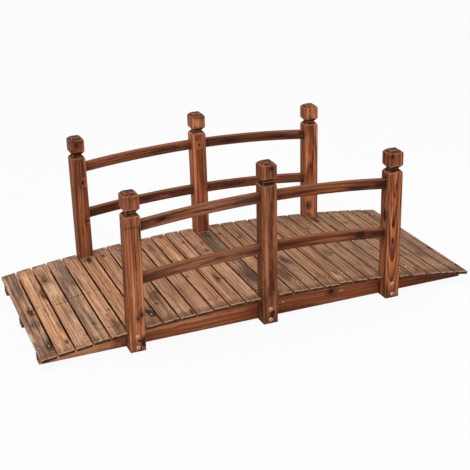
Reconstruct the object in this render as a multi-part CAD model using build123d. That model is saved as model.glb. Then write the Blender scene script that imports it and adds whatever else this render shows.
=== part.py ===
from build123d import *
import math
import os

# Garden moon bridge in softwood, flat-footed, with an arched deck and two arched railings.
# Millimetres. X runs along the walk, -Y is the near side, Z is up.
# The origin is on the ground in the middle of the bridge.

# Deck
BOARD_COUNT = 27
BOARD_WIDTH = 50.0
BOARD_GAP = 6.4
BOARD_THICK = 11.0
BOARD_EDGE_BEVEL = 1.2
DECK_OVERHANG = 49.5
DECK_CROWN_HEIGHT = 97.0
DECK_RADIUS = 4910.0

# Stringers
STRINGER_THICK = 38.0
STRINGER_SPAN = 573.0
STRINGER_LENGTH = 1508.0
STRINGER_TOE_RADIUS = 6.0
BOARD_SEAT_GAP = 0.1

# Posts
POST_SIZE = 51.0
POST_EDGE_BEVEL = 2.0
END_POST_HEIGHT = 524.0
MIDDLE_POST_HEIGHT = 551.0
POST_STATION_BOARDS = 8
FINIAL_HEIGHT = 52.0
FINIAL_TOP_BEVEL = 11.0
FINIAL_TOP_RISE = 10.0
NECK_HEIGHT = 24.0
NECK_DEPTH = 11.0
SHORT_BOARD_GAP = 0.5

# Rails
RAIL_DEPTH = 33.0
RAIL_THICK = 20.0
RAIL_RADIUS = 3700.0
UPPER_RAIL_CROWN = 434.0
LOWER_RAIL_CROWN = 261.0
RAIL_EDGE_BEVEL = 1.5
RAIL_HOUSING = 18.0
RAIL_SIDE_FIT = 0.2
RAIL_END_FIT = 0.5

# Post bolts
BOLT_RADIUS = 3.0
BOLT_HOLE_FIT = 0.3
BOLT_FIRST_HEIGHT = 15.0
BOLT_SPACING = 37.5
BOLT_FLANGE_RADIUS = 6.8
BOLT_FLANGE_THICK = 1.0
BOLT_CROWN_RADIUS = 3.4
BOLT_HEAD_HEIGHT = 3.3
NUT_RADIUS = 5.8
NUT_HEIGHT = 6.0

# Sizes that follow from the ones above
BOARD_PITCH = BOARD_WIDTH + BOARD_GAP
DECK_WIDTH = STRINGER_SPAN + 2 * DECK_OVERHANG
POST_SPACING = POST_STATION_BOARDS * BOARD_PITCH
STRINGER_FACE = STRINGER_SPAN / 2
POST_CENTRE_Y = STRINGER_FACE + POST_SIZE / 2
STRINGER_RADIUS = DECK_RADIUS - BOARD_THICK
STRINGER_CROWN = DECK_CROWN_HEIGHT - BOARD_THICK - BOARD_SEAT_GAP
POST_COLUMNS = {"left": -POST_SPACING, "middle": 0.0, "right": POST_SPACING}
SIDES = {"near": -1, "far": 1}
RAIL_CROWNS = {"upper": UPPER_RAIL_CROWN, "lower": LOWER_RAIL_CROWN}
BAYS = {"left": -1, "right": 1}


# Upright slab: a closed outline in X and Z, given a thickness about a centre in Y
def upright_slab(outline, centre_y, thick):
    slab = extrude(outline, amount=thick / 2, both=True)
    return Pos(0, centre_y, 0) * slab


# A flat-bottomed beam whose top follows the deck's arch
def stringer(centre_y):
    half = STRINGER_LENGTH / 2
    tip = STRINGER_CROWN - STRINGER_RADIUS + math.sqrt(STRINGER_RADIUS**2 - half**2)
    outline = Plane.XZ * make_face(
        Polyline((-half, tip), (-half, 0), (half, 0), (half, tip)).edges()
        + ThreePointArc((half, tip), (0, STRINGER_CROWN), (-half, tip)).edges()
    )
    beam = upright_slab(outline, centre_y, STRINGER_THICK)
    toes = beam.edges().filter_by(Axis.Y).group_by(Axis.Z)[0]
    beam = fillet(toes, STRINGER_TOE_RADIUS)
    if centre_y != 0:
        beam -= bolt_holes(math.copysign(1, centre_y))
    return beam


# One deck board, flat and eased along its top edges, seated on the arch
def deck_board(number):
    offset = number - (BOARD_COUNT + 1) / 2
    length = DECK_WIDTH
    if offset % POST_STATION_BOARDS == 0 and abs(offset) <= POST_STATION_BOARDS:
        length = STRINGER_SPAN - 2 * SHORT_BOARD_GAP
    board = Pos(0, 0, -BOARD_THICK / 2) * Box(BOARD_WIDTH, length, BOARD_THICK)
    board = chamfer(board.edges().group_by(Axis.Z)[-1], BOARD_EDGE_BEVEL)
    angle = offset * BOARD_PITCH / DECK_RADIUS
    x = DECK_RADIUS * math.sin(angle)
    z = DECK_CROWN_HEIGHT - DECK_RADIUS * (1 - math.cos(angle))
    return Pos(x, 0, z) * Rot(0, math.degrees(angle), 0) * board


# The outline that all four faces of a post share: shaft, notched neck, finial
def post_outline(height):
    half = POST_SIZE / 2
    finial_foot = height - FINIAL_HEIGHT
    shaft_top = finial_foot - NECK_HEIGHT
    neck = (half - NECK_DEPTH, finial_foot - NECK_HEIGHT / 2)
    right = [
        (half, 0),
        (half, shaft_top),
        neck,
        (half, finial_foot),
        (half, height - FINIAL_TOP_RISE),
        (half - FINIAL_TOP_BEVEL, height),
    ]
    left = [(-x, z) for x, z in reversed(right)]
    return make_face(Polyline(*right, *left, close=True).edges())


# A square post, cut to the same outline from two sides, with rail housings and bolt holes
def post(column, side):
    height = MIDDLE_POST_HEIGHT if column == "middle" else END_POST_HEIGHT
    outline = post_outline(height)
    across = extrude(Plane.XZ * outline, amount=POST_SIZE / 2, both=True)
    along = extrude(Plane.YZ * outline, amount=POST_SIZE / 2, both=True)
    body = across & along
    body = chamfer(body.edges().filter_by(Axis.Z), POST_EDGE_BEVEL)
    body = Pos(POST_COLUMNS[column], side * POST_CENTRE_Y, 0) * body
    for crown in RAIL_CROWNS.values():
        for bay in BAYS.values():
            body -= rail_blank(crown, bay, side, RAIL_SIDE_FIT, RAIL_END_FIT)
    return body - bolt_holes(side)


# An arched bar that reaches from one post's housing to the next, grown by the given fits
def rail_blank(crown, bay, side, side_fit=0.0, end_fit=0.0):
    outer = RAIL_RADIUS + RAIL_DEPTH / 2 + side_fit
    inner = RAIL_RADIUS - RAIL_DEPTH / 2 - side_fit
    first = POST_SIZE / 2 - RAIL_HOUSING - end_fit
    last = POST_SPACING - POST_SIZE / 2 + RAIL_HOUSING + end_fit
    window = Pos(bay * (first + last) / 2, RAIL_RADIUS) * Rectangle(last - first, RAIL_RADIUS)
    band = (Circle(outer) - Circle(inner)) & window
    outline = Plane.XZ * Pos(0, crown - RAIL_RADIUS) * band
    return upright_slab(outline, side * POST_CENTRE_Y, RAIL_THICK + 2 * side_fit)


# A rail with its long edges eased
def rail(crown, bay, side):
    bar = rail_blank(crown, bay, side)
    long_edges = bar.edges().filter_by(GeomType.CIRCLE)
    return chamfer(long_edges, RAIL_EDGE_BEVEL)


# Heights of the bolts in a post's foot
def bolt_heights():
    return [BOLT_FIRST_HEIGHT, BOLT_FIRST_HEIGHT + BOLT_SPACING]


# A round bar along Y between two distances from the bridge's centre line
def cross_bar(section, x, z, side, inner, outer):
    bar = extrude(Plane.XZ * section, amount=(outer - inner) / 2, both=True)
    return Pos(x, side * (inner + outer) / 2, z) * bar


# Clearance holes that run right through the posts and the stringer of one side
def bolt_holes(side):
    inner = STRINGER_FACE - STRINGER_THICK - BOLT_RADIUS
    outer = STRINGER_FACE + POST_SIZE + BOLT_RADIUS
    hole = Circle(BOLT_RADIUS + BOLT_HOLE_FIT)
    return [
        cross_bar(hole, x, z, side, inner, outer)
        for x in POST_COLUMNS.values()
        for z in bolt_heights()
    ]


# A flanged button-head bolt, its end flush with its nut inside the stringer
def post_bolt(x, z, side):
    post_face = STRINGER_FACE + POST_SIZE
    inner_face = STRINGER_FACE - STRINGER_THICK
    nut_end = inner_face - NUT_HEIGHT
    flange_top = post_face + BOLT_FLANGE_THICK
    head_top = post_face + BOLT_HEAD_HEIGHT
    shank = cross_bar(Circle(BOLT_RADIUS), x, z, side, nut_end, post_face)
    nut = cross_bar(RegularPolygon(NUT_RADIUS, 6), x, z, side, nut_end, inner_face)
    flange = cross_bar(Circle(BOLT_FLANGE_RADIUS), x, z, side, post_face, flange_top)
    crown = Cone(BOLT_FLANGE_RADIUS, BOLT_CROWN_RADIUS, head_top - flange_top)
    crown = Pos(x, side * (flange_top + head_top) / 2, z) * Rot(-90 * side, 0, 0) * crown
    return shank + nut + flange + crown


# Every piece by name
def pieces():
    named = {}
    stringer_centre = STRINGER_FACE - STRINGER_THICK / 2
    named["stringer_near"] = stringer(-stringer_centre)
    named["stringer_middle"] = stringer(0)
    named["stringer_far"] = stringer(stringer_centre)
    for number in range(1, BOARD_COUNT + 1):
        named[f"deck_board_{number:02d}"] = deck_board(number)
    for side_name, side in SIDES.items():
        for column in POST_COLUMNS:
            named[f"post_{side_name}_{column}"] = post(column, side)
        for bay_name, bay in BAYS.items():
            for level, crown in RAIL_CROWNS.items():
                named[f"rail_{side_name}_{bay_name}_{level}"] = rail(crown, bay, side)
    bolts = [
        post_bolt(x, z, side)
        for side in SIDES.values()
        for x in POST_COLUMNS.values()
        for z in bolt_heights()
    ]
    named["post_bolts"] = Compound(bolts)
    return named


os.makedirs("parts", exist_ok=True)
for name, shape in pieces().items():
    export_step(shape, f"parts/{name}.step")
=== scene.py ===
"""Looks of the garden moon bridge: worn timber, torched softwood, zinc fixings, studio.

Lengths are metres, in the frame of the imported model: X along the walk, -Y the near
side, Z up, with the origin on the ground under the middle of the deck.
"""

import logging
import math
import random
from dataclasses import asdict, dataclass, field, replace
from enum import Enum
from functools import reduce
from typing import Mapping, Optional, Sequence, Union

import bpy
from mathutils import Matrix, Vector


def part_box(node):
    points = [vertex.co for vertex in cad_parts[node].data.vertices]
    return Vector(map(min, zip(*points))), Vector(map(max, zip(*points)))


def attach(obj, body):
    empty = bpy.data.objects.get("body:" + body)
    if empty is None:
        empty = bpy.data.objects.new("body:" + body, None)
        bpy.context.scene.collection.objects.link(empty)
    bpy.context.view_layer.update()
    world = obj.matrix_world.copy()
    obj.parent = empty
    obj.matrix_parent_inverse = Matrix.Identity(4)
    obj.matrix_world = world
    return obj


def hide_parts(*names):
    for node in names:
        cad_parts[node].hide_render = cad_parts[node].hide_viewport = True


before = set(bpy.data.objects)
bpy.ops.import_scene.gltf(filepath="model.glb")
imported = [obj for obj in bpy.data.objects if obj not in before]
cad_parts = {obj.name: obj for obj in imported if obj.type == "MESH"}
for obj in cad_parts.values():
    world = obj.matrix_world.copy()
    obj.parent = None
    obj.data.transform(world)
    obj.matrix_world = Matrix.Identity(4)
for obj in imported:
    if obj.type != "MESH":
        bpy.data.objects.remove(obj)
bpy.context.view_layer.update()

ROOT_BODY = "root"
MM = 0.001
LOG = logging.getLogger("moon_bridge")
GRAIN_SEEDS = (0.0, 400.0)

Socket = bpy.types.NodeSocket
Colour = tuple[float, float, float]
Fade = tuple[float, float]
Feed = Union[Socket, float, Sequence[float], None]


class Side(Enum):
    """The railing sides, with the sign of their place across the bridge."""

    NEAR = -1
    FAR = 1


class Column(Enum):
    """The rows of posts, and the bays of rails, by their place along the bridge."""

    LEFT = -1
    MIDDLE = 0
    RIGHT = 1


class Level(Enum):
    """The two heights of the rails."""

    UPPER = "upper"
    LOWER = "lower"


def linear(red: int, green: int, blue: int) -> Colour:
    """Turns a colour written in screen values into the linear values that shaders take.

    Args:
        red: Screen value from 0 to 255.
        green: Screen value from 0 to 255.
        blue: Screen value from 0 to 255.

    Returns:
        The linear red, green and blue.
    """
    # The usual screen curve: straight near black and a power above it
    return tuple(
        c / 12.92 if c <= 0.04045 else ((c + 0.055) / 1.055) ** 2.4
        for c in (red / 255, green / 255, blue / 255)
    )


class Graph:
    """Adds and links the nodes of one node tree."""

    def __init__(self, tree: bpy.types.NodeTree) -> None:
        """Keeps the tree that the nodes go into."""
        self.tree = tree

    def add(self, kind: str, *values: Feed, **settings: object) -> bpy.types.Node:
        """Adds one node.

        Args:
            kind: Blender's name for the type of node.
            *values: What goes into its first inputs, in order.
            **settings: Properties to set on it.

        Returns:
            The new node.
        """
        node = self.tree.nodes.new(kind)
        for name, value in settings.items():
            setattr(node, name, value)
        for socket, value in zip(node.inputs, values):
            self.feed(socket, value)
        return node

    def feed(self, socket: Socket, value: Feed) -> None:
        """Links a socket to another, or sets its own value.

        Args:
            socket: The input to fill.
            value: Another node's output, or a plain value. None leaves it as it is.
        """
        if isinstance(value, Socket):
            self.tree.links.new(value, socket)
        elif value is not None:
            if socket.type == "RGBA" and len(value) == 3:
                value = (*value, 1.0)
            socket.default_value = value

    def fill(self, node: bpy.types.Node, **feeds: Feed) -> bpy.types.Node:
        """Feeds a node's inputs by name, with _ in place of each space.

        Args:
            node: The node.
            **feeds: What goes into each input.

        Returns:
            The node.
        """
        for name, value in feeds.items():
            self.feed(node.inputs[name.replace("_", " ")], value)
        return node

    def math(self, operation: str, *values: Feed) -> Socket:
        """Adds a Math node and returns its result."""
        return self.add("ShaderNodeMath", *values, operation=operation).outputs[0]

    def vector(self, operation: str, *values: Feed) -> Socket:
        """Adds a Vector Math node and returns its result, which is a number for a length."""
        node = self.add("ShaderNodeVectorMath", *values, operation=operation)
        return node.outputs["Value" if operation == "LENGTH" else "Vector"]

    def scale(self, vector: Feed, factor: Feed) -> Socket:
        """Returns a vector times a number."""
        node = self.add("ShaderNodeVectorMath", vector, operation="SCALE")
        return self.fill(node, Scale=factor).outputs[0]

    def split(self, vector: Feed) -> tuple[Socket, ...]:
        """Returns a vector's three parts."""
        return tuple(self.add("ShaderNodeSeparateXYZ", vector).outputs)

    def join(self, first: Feed, second: Feed, third: Feed) -> Socket:
        """Returns a vector made of three parts."""
        return self.add("ShaderNodeCombineXYZ", first, second, third).outputs[0]

    def step(self, value: Feed, low: Feed, high: Feed) -> Socket:
        """Returns 0 at low and 1 at high, with a smooth change between. Low may be the larger."""
        parts = (value, low, high, 0.0, 1.0)
        return self.add("ShaderNodeMapRange", *parts, interpolation_type="SMOOTHSTEP").outputs[0]

    def times(self, *factors: Feed) -> Socket:
        """Returns the product of the factors, multiplied from the first to the last."""
        return reduce(lambda product, factor: self.math("MULTIPLY", product, factor), factors)

    def swing(self, noise: Feed, amount: float, middle: float = 1.0) -> Socket:
        """Returns noise made to swing by an amount about a middle."""
        return self.math("MULTIPLY_ADD", noise, amount, middle - amount / 2)

    def noise(self, place: Feed, ripples: Sequence[float], seed: Feed, detail: float) -> Socket:
        """Adds seeded noise whose fineness is set apart for each direction.

        Args:
            place: The position that is read, in metres.
            ripples: Ripples in a metre, for each of the three directions.
            seed: Which of many like patterns it is.
            detail: How many finer layers are laid over it.

        Returns:
            The noise, about 0.5 on average.
        """
        node = self.add("ShaderNodeTexNoise", noise_dimensions="4D")
        self.fill(node, Vector=self.vector("MULTIPLY", place, ripples), W=seed, Scale=1.0, Detail=detail)
        return node.outputs[0]

    def blend(self, factor: Feed, first: Feed, second: Feed) -> Socket:
        """Mixes two colours.

        Args:
            factor: 0 for the first colour and 1 for the second.
            first: One colour.
            second: The other.

        Returns:
            The mixed colour.
        """
        node = self.add("ShaderNodeMix", factor, data_type="RGBA")
        for socket, colour in zip([s for s in node.inputs if s.type == "RGBA"], (first, second)):
            self.feed(socket, colour)
        return next(s for s in node.outputs if s.type == "RGBA")

    def coat(self, colour: Feed, paint: Feed, *shares: Feed) -> Socket:
        """Lays a paint over a colour, as far as the product of the shares, and returns the result."""
        return self.blend(self.times(*shares), colour, paint)

    def ramp(self, value: Feed, stops: Sequence[tuple[float, float]]) -> Socket:
        """Maps a number through straight runs between stops.

        Args:
            value: The number, from 0 to 1.
            stops: Some of its values, in order, and what each becomes.

        Returns:
            The new number.
        """
        node = self.add("ShaderNodeValToRGB", value)
        elements = node.color_ramp.elements
        while len(elements) < len(stops):
            elements.new(0.5)
        for element, (place, grey) in zip(elements, stops):
            element.position = place
            element.color = (grey, grey, grey, 1.0)
        return node.outputs[0]


class Former:
    """A geometry tree that is built in this script and turns a base mesh into a plain mesh."""

    def __init__(self, name: str, inputs: Mapping[str, str]) -> None:
        """Makes the empty tree with its named inputs.

        Args:
            name: The tree's name.
            inputs: The type of each input after the base geometry: Float, Int, Vector or Material.
        """
        self.tree = bpy.data.node_groups.new(name, "GeometryNodeTree")
        sockets = self.tree.interface
        sockets.new_socket("Geometry", in_out="INPUT", socket_type="NodeSocketGeometry")
        for label, kind in inputs.items():
            sockets.new_socket(label, in_out="INPUT", socket_type=f"NodeSocket{kind}")
        sockets.new_socket("Geometry", in_out="OUTPUT", socket_type="NodeSocketGeometry")
        self.graph = Graph(self.tree)
        self.given = self.graph.add("NodeGroupInput").outputs

    def finish(self, geometry: Socket) -> None:
        """Ends the tree: instances are made real and the material is set.

        Args:
            geometry: The result so far.
        """
        g = self.graph
        real = g.fill(g.add("GeometryNodeRealizeInstances"), Geometry=geometry)
        smooth = g.fill(g.add("GeometryNodeSetShadeSmooth"), Geometry=real.outputs[0])
        dressed = g.fill(
            g.add("GeometryNodeSetMaterial"), Geometry=smooth.outputs[0], Material=self.given["Material"]
        )
        g.feed(g.add("NodeGroupOutput").inputs[0], dressed.outputs[0])

    def run(self, name: str, base: bpy.types.Mesh, **inputs: object) -> bpy.types.Object:
        """Runs the tree on a base mesh.

        Args:
            name: Name of the new piece.
            base: The mesh that the tree starts from.
            **inputs: A value for each named input, with _ in place of each space.

        Returns:
            A new object with a plain mesh, at the origin.
        """
        carrier = bpy.data.objects.new(f"{name}_base", base)
        bpy.context.scene.collection.objects.link(carrier)
        modifier = carrier.modifiers.new("form", "NODES")
        modifier.node_group = self.tree
        for item in self.tree.interface.items_tree:
            label = item.name.replace(" ", "_")
            if item.item_type == "SOCKET" and item.in_out == "INPUT" and label in inputs:
                modifier[item.identifier] = inputs[label]
        carrier.update_tag()
        graph = bpy.context.evaluated_depsgraph_get()
        mesh = bpy.data.meshes.new_from_object(carrier.evaluated_get(graph))
        bpy.data.objects.remove(carrier)
        bpy.data.meshes.remove(base)
        mesh.name = name
        piece = bpy.data.objects.new(name, mesh)
        bpy.context.scene.collection.objects.link(piece)
        return piece


@dataclass(frozen=True)
class Station:
    """A cut across a timber: its place along, how much of the full section it has, and its wear, which also
    sets a painted highlight.
    """

    along: float
    swell: float = 1.0
    crease: float = 0.0


def stations_mesh(stations: Sequence[Station]) -> bpy.types.Mesh:
    """Makes the base mesh that the timber tree reads.

    Args:
        stations: The cuts, in order along the timber.

    Returns:
        A row of points with the attributes swell and crease.
    """
    mesh = bpy.data.meshes.new("stations")
    mesh.from_pydata([(s.along, 0.0, 0.0) for s in stations], [], [])
    for label in ("swell", "crease"):
        values = mesh.attributes.new(label, "FLOAT", "POINT")
        values.data.foreach_set("value", [getattr(s, label) for s in stations])
    return mesh


def even_stations(half: float, band: float, count: int) -> list[Station]:
    """Returns cuts that are close together within a band at each end and even between.

    Args:
        half: Half the timber's length.
        band: The length of the band at each end.
        count: How many spaces lie between the bands.

    Returns:
        The cuts.
    """
    near = [-half + band * part for part in (0.0, 0.25, 0.5, 0.75)]
    inner = [(-1 + 2 * number / count) * (half - band) for number in range(count + 1)]
    return [Station(place) for place in (*near, *inner, *(-p for p in reversed(near)))]


class WornTimber(Former):
    """Makes a bar with worn, rounded and slightly wavering edges, straight or arched.

    Its own axes are along, across and depth. Two attributes go onto the mesh: timber, the
    place in the straight bar, and wear, which is 1 on a corner and 0 a band away from it; the paint rubs the
    corners pale there, partly rubbing and partly a painted highlight.
    """

    SECTION_POINTS = 13
    FLAT_PART = 1 / 3
    RIPPLES = (24.0, 8.0, 8.0)
    RIPPLE_DETAIL = 3.0
    EDGE_SEED = 9.0
    FACE_SEED = 50.0
    SINE_TERM = -1 / 6
    COSINE_TERM = -1 / 2

    def __init__(self) -> None:
        """Builds the tree."""
        super().__init__("worn_timber", {
            "Half": "Vector", "Round": "Float", "Band": "Float", "Waver": "Float", "Seed": "Float",
            "Bend": "Float", "Footing": "Float", "Skew": "Float", "Material": "Material",
        })
        g, given = self.graph, self.given
        size = g.add("GeometryNodeAttributeDomainSize", component="MESH")
        count = g.fill(size, Geometry=given["Geometry"]).outputs["Point Count"]
        # A box from -1 to 1 each way, whose points the nodes below move into place
        cube = g.fill(
            g.add("GeometryNodeMeshCube"), Size=(2.0, 2.0, 2.0), Vertices_X=count,
            Vertices_Y=self.SECTION_POINTS, Vertices_Z=self.SECTION_POINTS,
        )
        place = g.add("GeometryNodeInputPosition").outputs[0]
        unit_along, unit_across, unit_depth = g.split(place)
        last = g.math("SUBTRACT", count, 1.0)
        index = g.math("ROUND", g.times(g.math("MULTIPLY_ADD", unit_along, 0.5, 0.5), last))
        along = g.split(self._sample(place, index, "FLOAT_VECTOR"))[0]
        swell = self._sample(self._named("swell"), index, "FLOAT")
        crease = self._sample(self._named("crease"), index, "FLOAT")
        half_along, half_across, half_depth = g.split(given["Half"])
        half_across = g.times(half_across, swell)
        half_depth = g.times(half_depth, swell)
        across, edge_across = self._spread(unit_across, half_across)
        depth, edge_depth = self._spread(unit_depth, half_depth)
        inset = g.math("SUBTRACT", half_along, given["Band"])
        inset = g.math("SUBTRACT", g.math("ABSOLUTE", along), inset)
        edge_along = g.step(g.math("DIVIDE", inset, given["Band"]), 0.0, 1.0)
        wear = self._second(edge_across, edge_depth, edge_along)
        wear = g.math("MAXIMUM", wear, crease)

        square = g.join(along, across, depth)
        halves = g.join(half_along, half_across, half_depth)
        core = g.vector("SUBTRACT", halves, given["Round"])
        held = g.vector("MINIMUM", g.vector("MAXIMUM", square, g.scale(core, -1.0)), core)
        outward = g.vector("NORMALIZE", g.vector("SUBTRACT", square, held))
        eased = g.vector("ADD", held, g.scale(outward, given["Round"]))
        wavered = self._waver(eased, unit_across, unit_depth)
        final = self._bend(wavered)

        mesh = cube.outputs["Mesh"]
        for label, kind, value in (("timber", "FLOAT_VECTOR", eased), ("wear", "FLOAT", wear)):
            store = g.add("GeometryNodeStoreNamedAttribute", data_type=kind, domain="POINT")
            g.fill(store, Geometry=mesh, Name=label)
            g.feed(next(s for s in store.inputs if s.name == "Value" and s.enabled), value)
            mesh = store.outputs[0]
        moved = g.fill(g.add("GeometryNodeSetPosition"), Geometry=mesh, Position=final)
        self.finish(moved.outputs[0])

    def _named(self, label: str) -> Socket:
        """Returns a named number of the base mesh."""
        node = self.graph.add("GeometryNodeInputNamedAttribute", data_type="FLOAT")
        return self.graph.fill(node, Name=label).outputs[0]

    def _sample(self, value: Feed, index: Feed, kind: str) -> Socket:
        """Reads a value of the base mesh at an index.

        Args:
            value: The field to read.
            index: The point's index.
            kind: The type of the value.

        Returns:
            The value there.
        """
        node = self.graph.add("GeometryNodeSampleIndex", data_type=kind, domain="POINT")
        self.graph.fill(node, Geometry=self.given["Geometry"], Value=value, Index=index)
        return node.outputs[0]

    def _spread(self, unit: Feed, half: Feed) -> tuple[Socket, Socket]:
        """Spreads even points over a face so that most lie in the band beside its edges.

        Args:
            unit: The even place, from -1 to 1.
            half: Half the face's width.

        Returns:
            The place across the face, and how far into the band it is, from 0 to 1.
        """
        g, band = self.graph, self.given["Band"]
        share = g.math("ABSOLUTE", unit)
        inner = g.math("MINIMUM", g.math("DIVIDE", share, self.FLAT_PART), 1.0)
        outer = g.math("SUBTRACT", share, self.FLAT_PART)
        outer = g.math("MAXIMUM", g.math("DIVIDE", outer, 1.0 - self.FLAT_PART), 0.0)
        place = g.times(inner, g.math("SUBTRACT", half, band))
        place = g.math("MULTIPLY_ADD", outer, band, place)
        return g.times(place, g.math("SIGN", unit)), outer

    def _second(self, first: Feed, second: Feed, third: Feed) -> Socket:
        """Returns the second largest of three numbers."""
        low, high = (self.graph.math(way, first, second) for way in ("MINIMUM", "MAXIMUM"))
        return self.graph.math("MAXIMUM", low, self.graph.math("MINIMUM", high, third))

    def _waver(self, place: Feed, unit_across: Feed, unit_depth: Feed) -> Socket:
        """Moves each long edge in and out a little, and sets the ends out of square.

        Args:
            place: The place in the bar.
            unit_across: The even place across, which tells the two edges apart.
            unit_depth: The even place in depth.

        Returns:
            The new place.
        """
        g, given = self.graph, self.given
        along, across, depth = g.split(place)
        moves = []
        for unit, face_seed in ((unit_across, 0.0), (unit_depth, self.FACE_SEED)):
            seed = g.math("ADD", given["Seed"], face_seed)
            seed = g.math("MULTIPLY_ADD", g.math("SIGN", unit), self.EDGE_SEED, seed)
            ripple = g.noise(place, self.RIPPLES, seed, self.RIPPLE_DETAIL)
            moves.append(g.times(g.math("SUBTRACT", ripple, 0.5), given["Waver"], 2.0, unit))
        shift = g.times(across, given["Skew"], g.math("DIVIDE", along, g.split(given["Half"])[0]))
        moved = zip((along, across, depth), (shift, *moves))
        return g.join(*(g.math("ADD", at, move) for at, move in moved))

    def _bend(self, place: Feed) -> Socket:
        """Bends the bar down towards its ends, in the plane of along and across.

        Args:
            place: The place in the straight bar.

        Returns:
            The place in the arched bar. A footing of 1 keeps the foot straight.
        """
        g, given = self.graph, self.given
        along, across, depth = g.split(place)
        turn = g.times(along, given["Bend"])
        square = g.times(turn, turn)
        free = g.math("SUBTRACT", 1.0, given["Footing"])
        rise = g.math("MULTIPLY_ADD", g.math("DIVIDE", across, g.split(given["Half"])[1]), 0.5, 0.5)
        weight = g.math("MULTIPLY_ADD", g.math("SUBTRACT", rise, 1.0), given["Footing"], 1.0)
        # The sine and the cosine of the turn, by the first terms of their series
        sine_part = g.times(along, g.times(square, free, self.SINE_TERM))
        forward = g.math("ADD", g.times(across, turn, free), sine_part)
        cosine_part = g.times(across, square, g.times(free, self.COSINE_TERM))
        drop = g.math("ADD", g.times(along, turn, self.COSINE_TERM), cosine_part)
        return g.join(
            g.math("ADD", along, forward), g.math("MULTIPLY_ADD", drop, weight, across), depth
        )


class Fixings(Former):
    """Sets small round heads on points, each turned to face along its point's attribute."""

    def __init__(self, name: str, inputs: Mapping[str, str]) -> None:
        """Makes the tree's inputs.

        Args:
            name: The tree's name.
            inputs: The type of each size that the head itself takes.
        """
        super().__init__(name, {
            **inputs, "Lean": "Float", "Uneven": "Float", "Seed": "Int", "Material": "Material",
        })

    def _random(self, kind: str, low: Feed, high: Feed, offset: int) -> Socket:
        """Returns a random value for each point.

        Args:
            kind: The type of the value.
            low: Its lowest value.
            high: Its highest value.
            offset: Tells the values of one point apart.

        Returns:
            The value.
        """
        g = self.graph
        node = g.add("FunctionNodeRandomValue", data_type=kind)
        for label, value in (("Min", low), ("Max", high)):
            g.feed(next(s for s in node.inputs if s.name == label and s.enabled), value)
        g.fill(node, Seed=g.math("ADD", self.given["Seed"], offset))
        return next(s for s in node.outputs if s.enabled)

    def set_on_points(self, head: Socket) -> None:
        """Puts a head on every point, with a seeded turn, lean and size, and ends the tree.

        Args:
            head: The head's geometry, standing on its own origin along Z.
        """
        g, given = self.graph, self.given
        facing = g.add("GeometryNodeInputNamedAttribute", data_type="FLOAT_VECTOR")
        g.fill(facing, Name="facing")
        reach = g.join(given["Lean"], given["Lean"], given["Lean"])
        lean = self._random("FLOAT_VECTOR", g.scale(reach, -1.0), reach, 0)
        upright = g.add("FunctionNodeAlignRotationToVector", axis="Z")
        g.fill(upright, Vector=g.vector("ADD", facing.outputs[0], lean))
        angle = self._random("FLOAT", 0.0, math.tau, 1)
        spin = g.fill(g.add("FunctionNodeAxisAngleToRotation"), Angle=angle)
        turned = g.add("FunctionNodeRotateRotation", rotation_space="LOCAL")
        g.fill(turned, Rotation=upright.outputs[0], Rotate_By=spin.outputs[0])
        low, high = (g.math(way, 1.0, given["Uneven"]) for way in ("SUBTRACT", "ADD"))
        points = g.add("GeometryNodeInstanceOnPoints")
        g.fill(points, Points=given["Geometry"], Instance=head, Rotation=turned.outputs[0],
               Scale=self._random("FLOAT", low, high, 2))
        self.finish(points.outputs[0])


class NailHeads(Fixings):
    """Low domed nail heads."""

    SEGMENTS = 12
    RINGS = 8

    def __init__(self) -> None:
        """Builds the tree."""
        super().__init__("nail_heads", {"Radius": "Float", "Height": "Float"})
        g, given = self.graph, self.given
        ball = g.add("GeometryNodeMeshUVSphere")
        g.fill(ball, Segments=self.SEGMENTS, Rings=self.RINGS, Radius=1.0)
        size = g.join(given["Radius"], given["Radius"], given["Height"])
        shaped = g.fill(g.add("GeometryNodeTransform"), Geometry=ball.outputs[0], Scale=size)
        self.set_on_points(shaped.outputs[0])


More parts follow.
